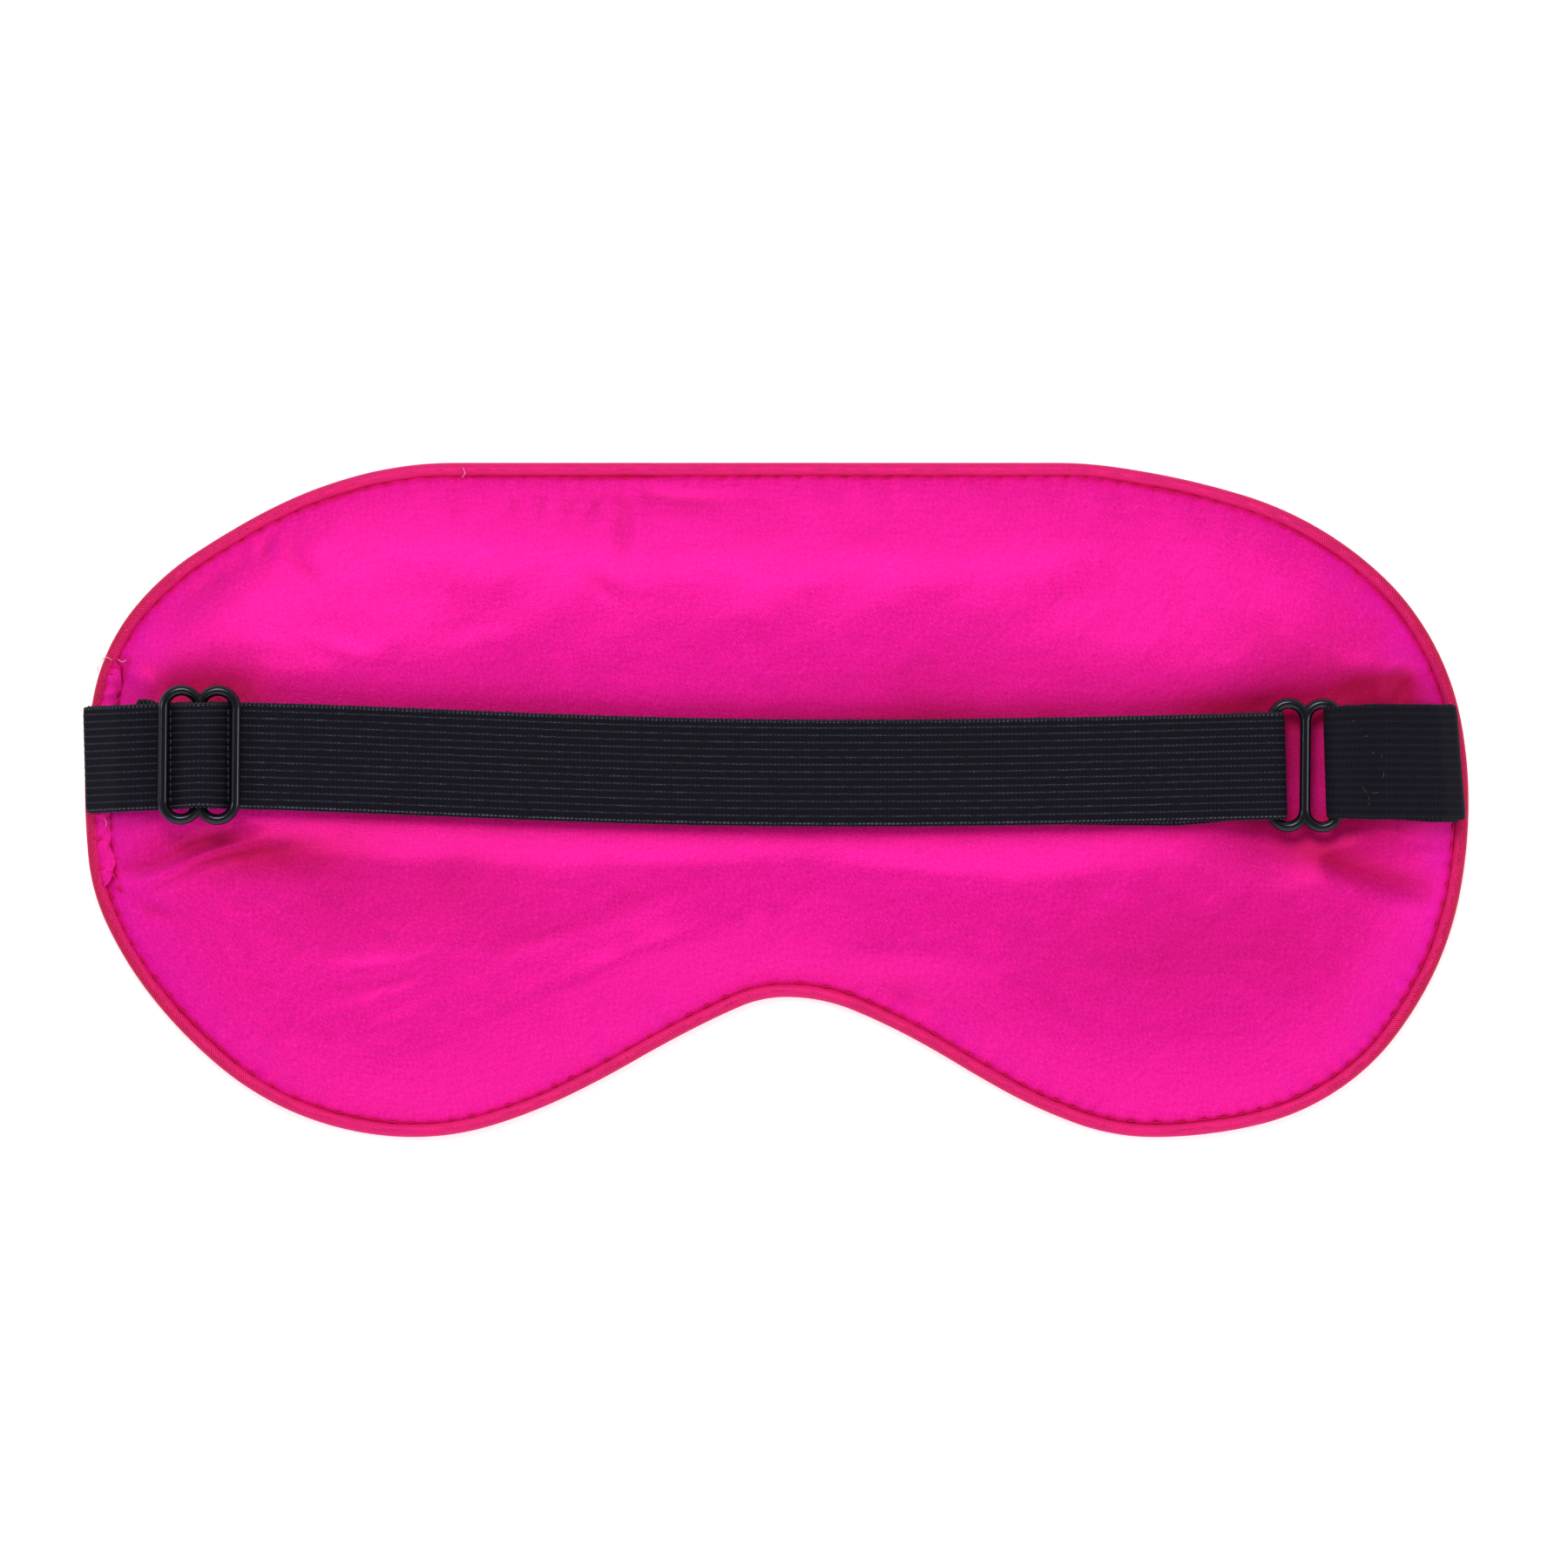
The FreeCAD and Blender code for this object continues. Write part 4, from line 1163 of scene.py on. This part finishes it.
def make_hand_stitches(flap, thread, white):
    """Hand stitches along the flap's inner border, a few over the piping, and loose ends."""
    points, inwards, length, outer, inner = flap
    level = SEAM_LEVEL + 1.48
    segments = []
    station = 0.8
    while station < length[-1] - 0.5:
        i = int(np.argmin(np.abs(length - station)))
        j = min(i + 6, len(points) - 1)
        ahead = (points[j] - points[i]) / np.linalg.norm(points[j] - points[i])
        slant_in = inwards[i] * rng.uniform(0.1, 0.5)
        half = ahead * rng.uniform(0.45, 0.75)
        base = points[i] + inwards[i] * (inner[i] + 0.02)
        start, end = base - half - slant_in, base + half + slant_in * 0.8
        rises = ((0, -0.28), (0.3, 0.08), (0.7, 0.08), (1, -0.22))
        segments.append([(*(start * (1 - share) + end * share), level + rise) for share, rise in rises])
        station += rng.uniform(1.5, 2.5)
    for share in (0.03, 0.06, 0.70, 0.80, 0.93):
        i = int(share * (len(points) - 1))
        segments.append([
            (*(points[i] + inwards[i] * (outer[i] + inset)), SEAM_LEVEL + rise)
            for inset, rise in ((-0.5, 0.95), (0.2, 1.42), (0.9, 1.55))
        ])
    item = capsule_rows("hand_stitches", segments, 0.13, thread)
    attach(item, "mask")
    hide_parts("closing_stitches")
    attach(capsule_rows("loose_thread_ends", LOOSE_ENDS, 0.07, white), "mask")


# Lint on the tab: centre x and y, direction in degrees, half length, and bend in radians.
LINT = (
    (84.7, 1.4, -50, 0.65, 0.2), (85.5, -0.1, -90, 0.85, -0.5), (86.3, 1, 4, 0.55, 0.2),
    (87.5, 3.6, 80, 0.5, 0.1), (85.9, 6.8, -40, 0.25, 0.4), (85, 9.2, 15, 0.3, 0.3),
    (87.2, 6.3, -70, 0.35, 0.3), (83.1, 11.4, 20, 0.2, 0.2),
)


def make_lint(material, tab_top):
    """A little fluff caught on the tab. tab_top is the middle line of its upper layer."""
    share = np.array((-1, -0.5, 0, 0.5, 1))
    segments = []
    for x, y, degrees, reach, bend in LINT:
        heading = math.radians(degrees) + bend * share
        fibre_x = x + reach * share * np.cos(heading)
        level = np.interp(fibre_x, tab_top[:, 0], tab_top[:, 1]) + HALF_STRAP + 0.07
        segments.append(np.column_stack((fibre_x, y + reach * share * np.sin(heading), level)))
    item = capsule_rows("lint_on_tab", segments, 0.036, material)
    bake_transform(item)


# ---- put together

make_camera()
make_lights()
make_floor()

satin = satin_material("pink_satin", 0.30)
flap_satin = satin_material("flap_satin", 0.05)
elastic = elastic_material("black_elastic", 9, 0.78, 0.80, 1.3)
tab_elastic = elastic_material("black_elastic_back", 2, 0.22, 0.85, 0.15)
edge_yarn = thread_material("selvedge_yarn", (0.010, 0.009, 0.014), (0.05, 0.048, 0.06))
pink_thread = thread_material("pink_thread", (0.44, 0.001, 0.035), (0.80, 0.008, 0.15))
pale_thread = thread_material("pale_thread", (0.75, 0.20, 0.34), (0.85, 0.42, 0.55))
lint = thread_material("lint", (0.035, 0.035, 0.04), (0.12, 0.118, 0.125))
# Pale threads beside the slider's bars: their colour is a painted highlight.
bend_yarn = thread_material("bend_yarn", (0.05, 0.049, 0.06), (0.13, 0.128, 0.15))
black_thread = thread_material("black_thread", (0.008, 0.008, 0.010), (0.03, 0.03, 0.034))
lacquer = lacquer_material()

make_cushion(satin)
make_piping(piping_material())
make_strap(elastic, edge_yarn)
make_slider_weave(elastic, edge_yarn, bend_yarn)
tab_top, tab_ends = make_tab(tab_elastic, black_thread)
make_edge_stitches(pink_thread)
make_hand_stitches(make_flap(flap_satin), pink_thread, pale_thread)
make_lint(lint, tab_top)

for node, material in (
    ("slider", lacquer),
    ("ring", lacquer),
    ("piping_cord", cotton_material()),
    ("loop_tack", black_thread),
    ("left_seam_tack", pink_thread),
    ("right_seam_tack", pink_thread),
):
    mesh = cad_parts[node].data
    mesh.materials.clear()
    mesh.materials.append(material)
    for polygon in mesh.polygons:
        polygon.use_smooth = True
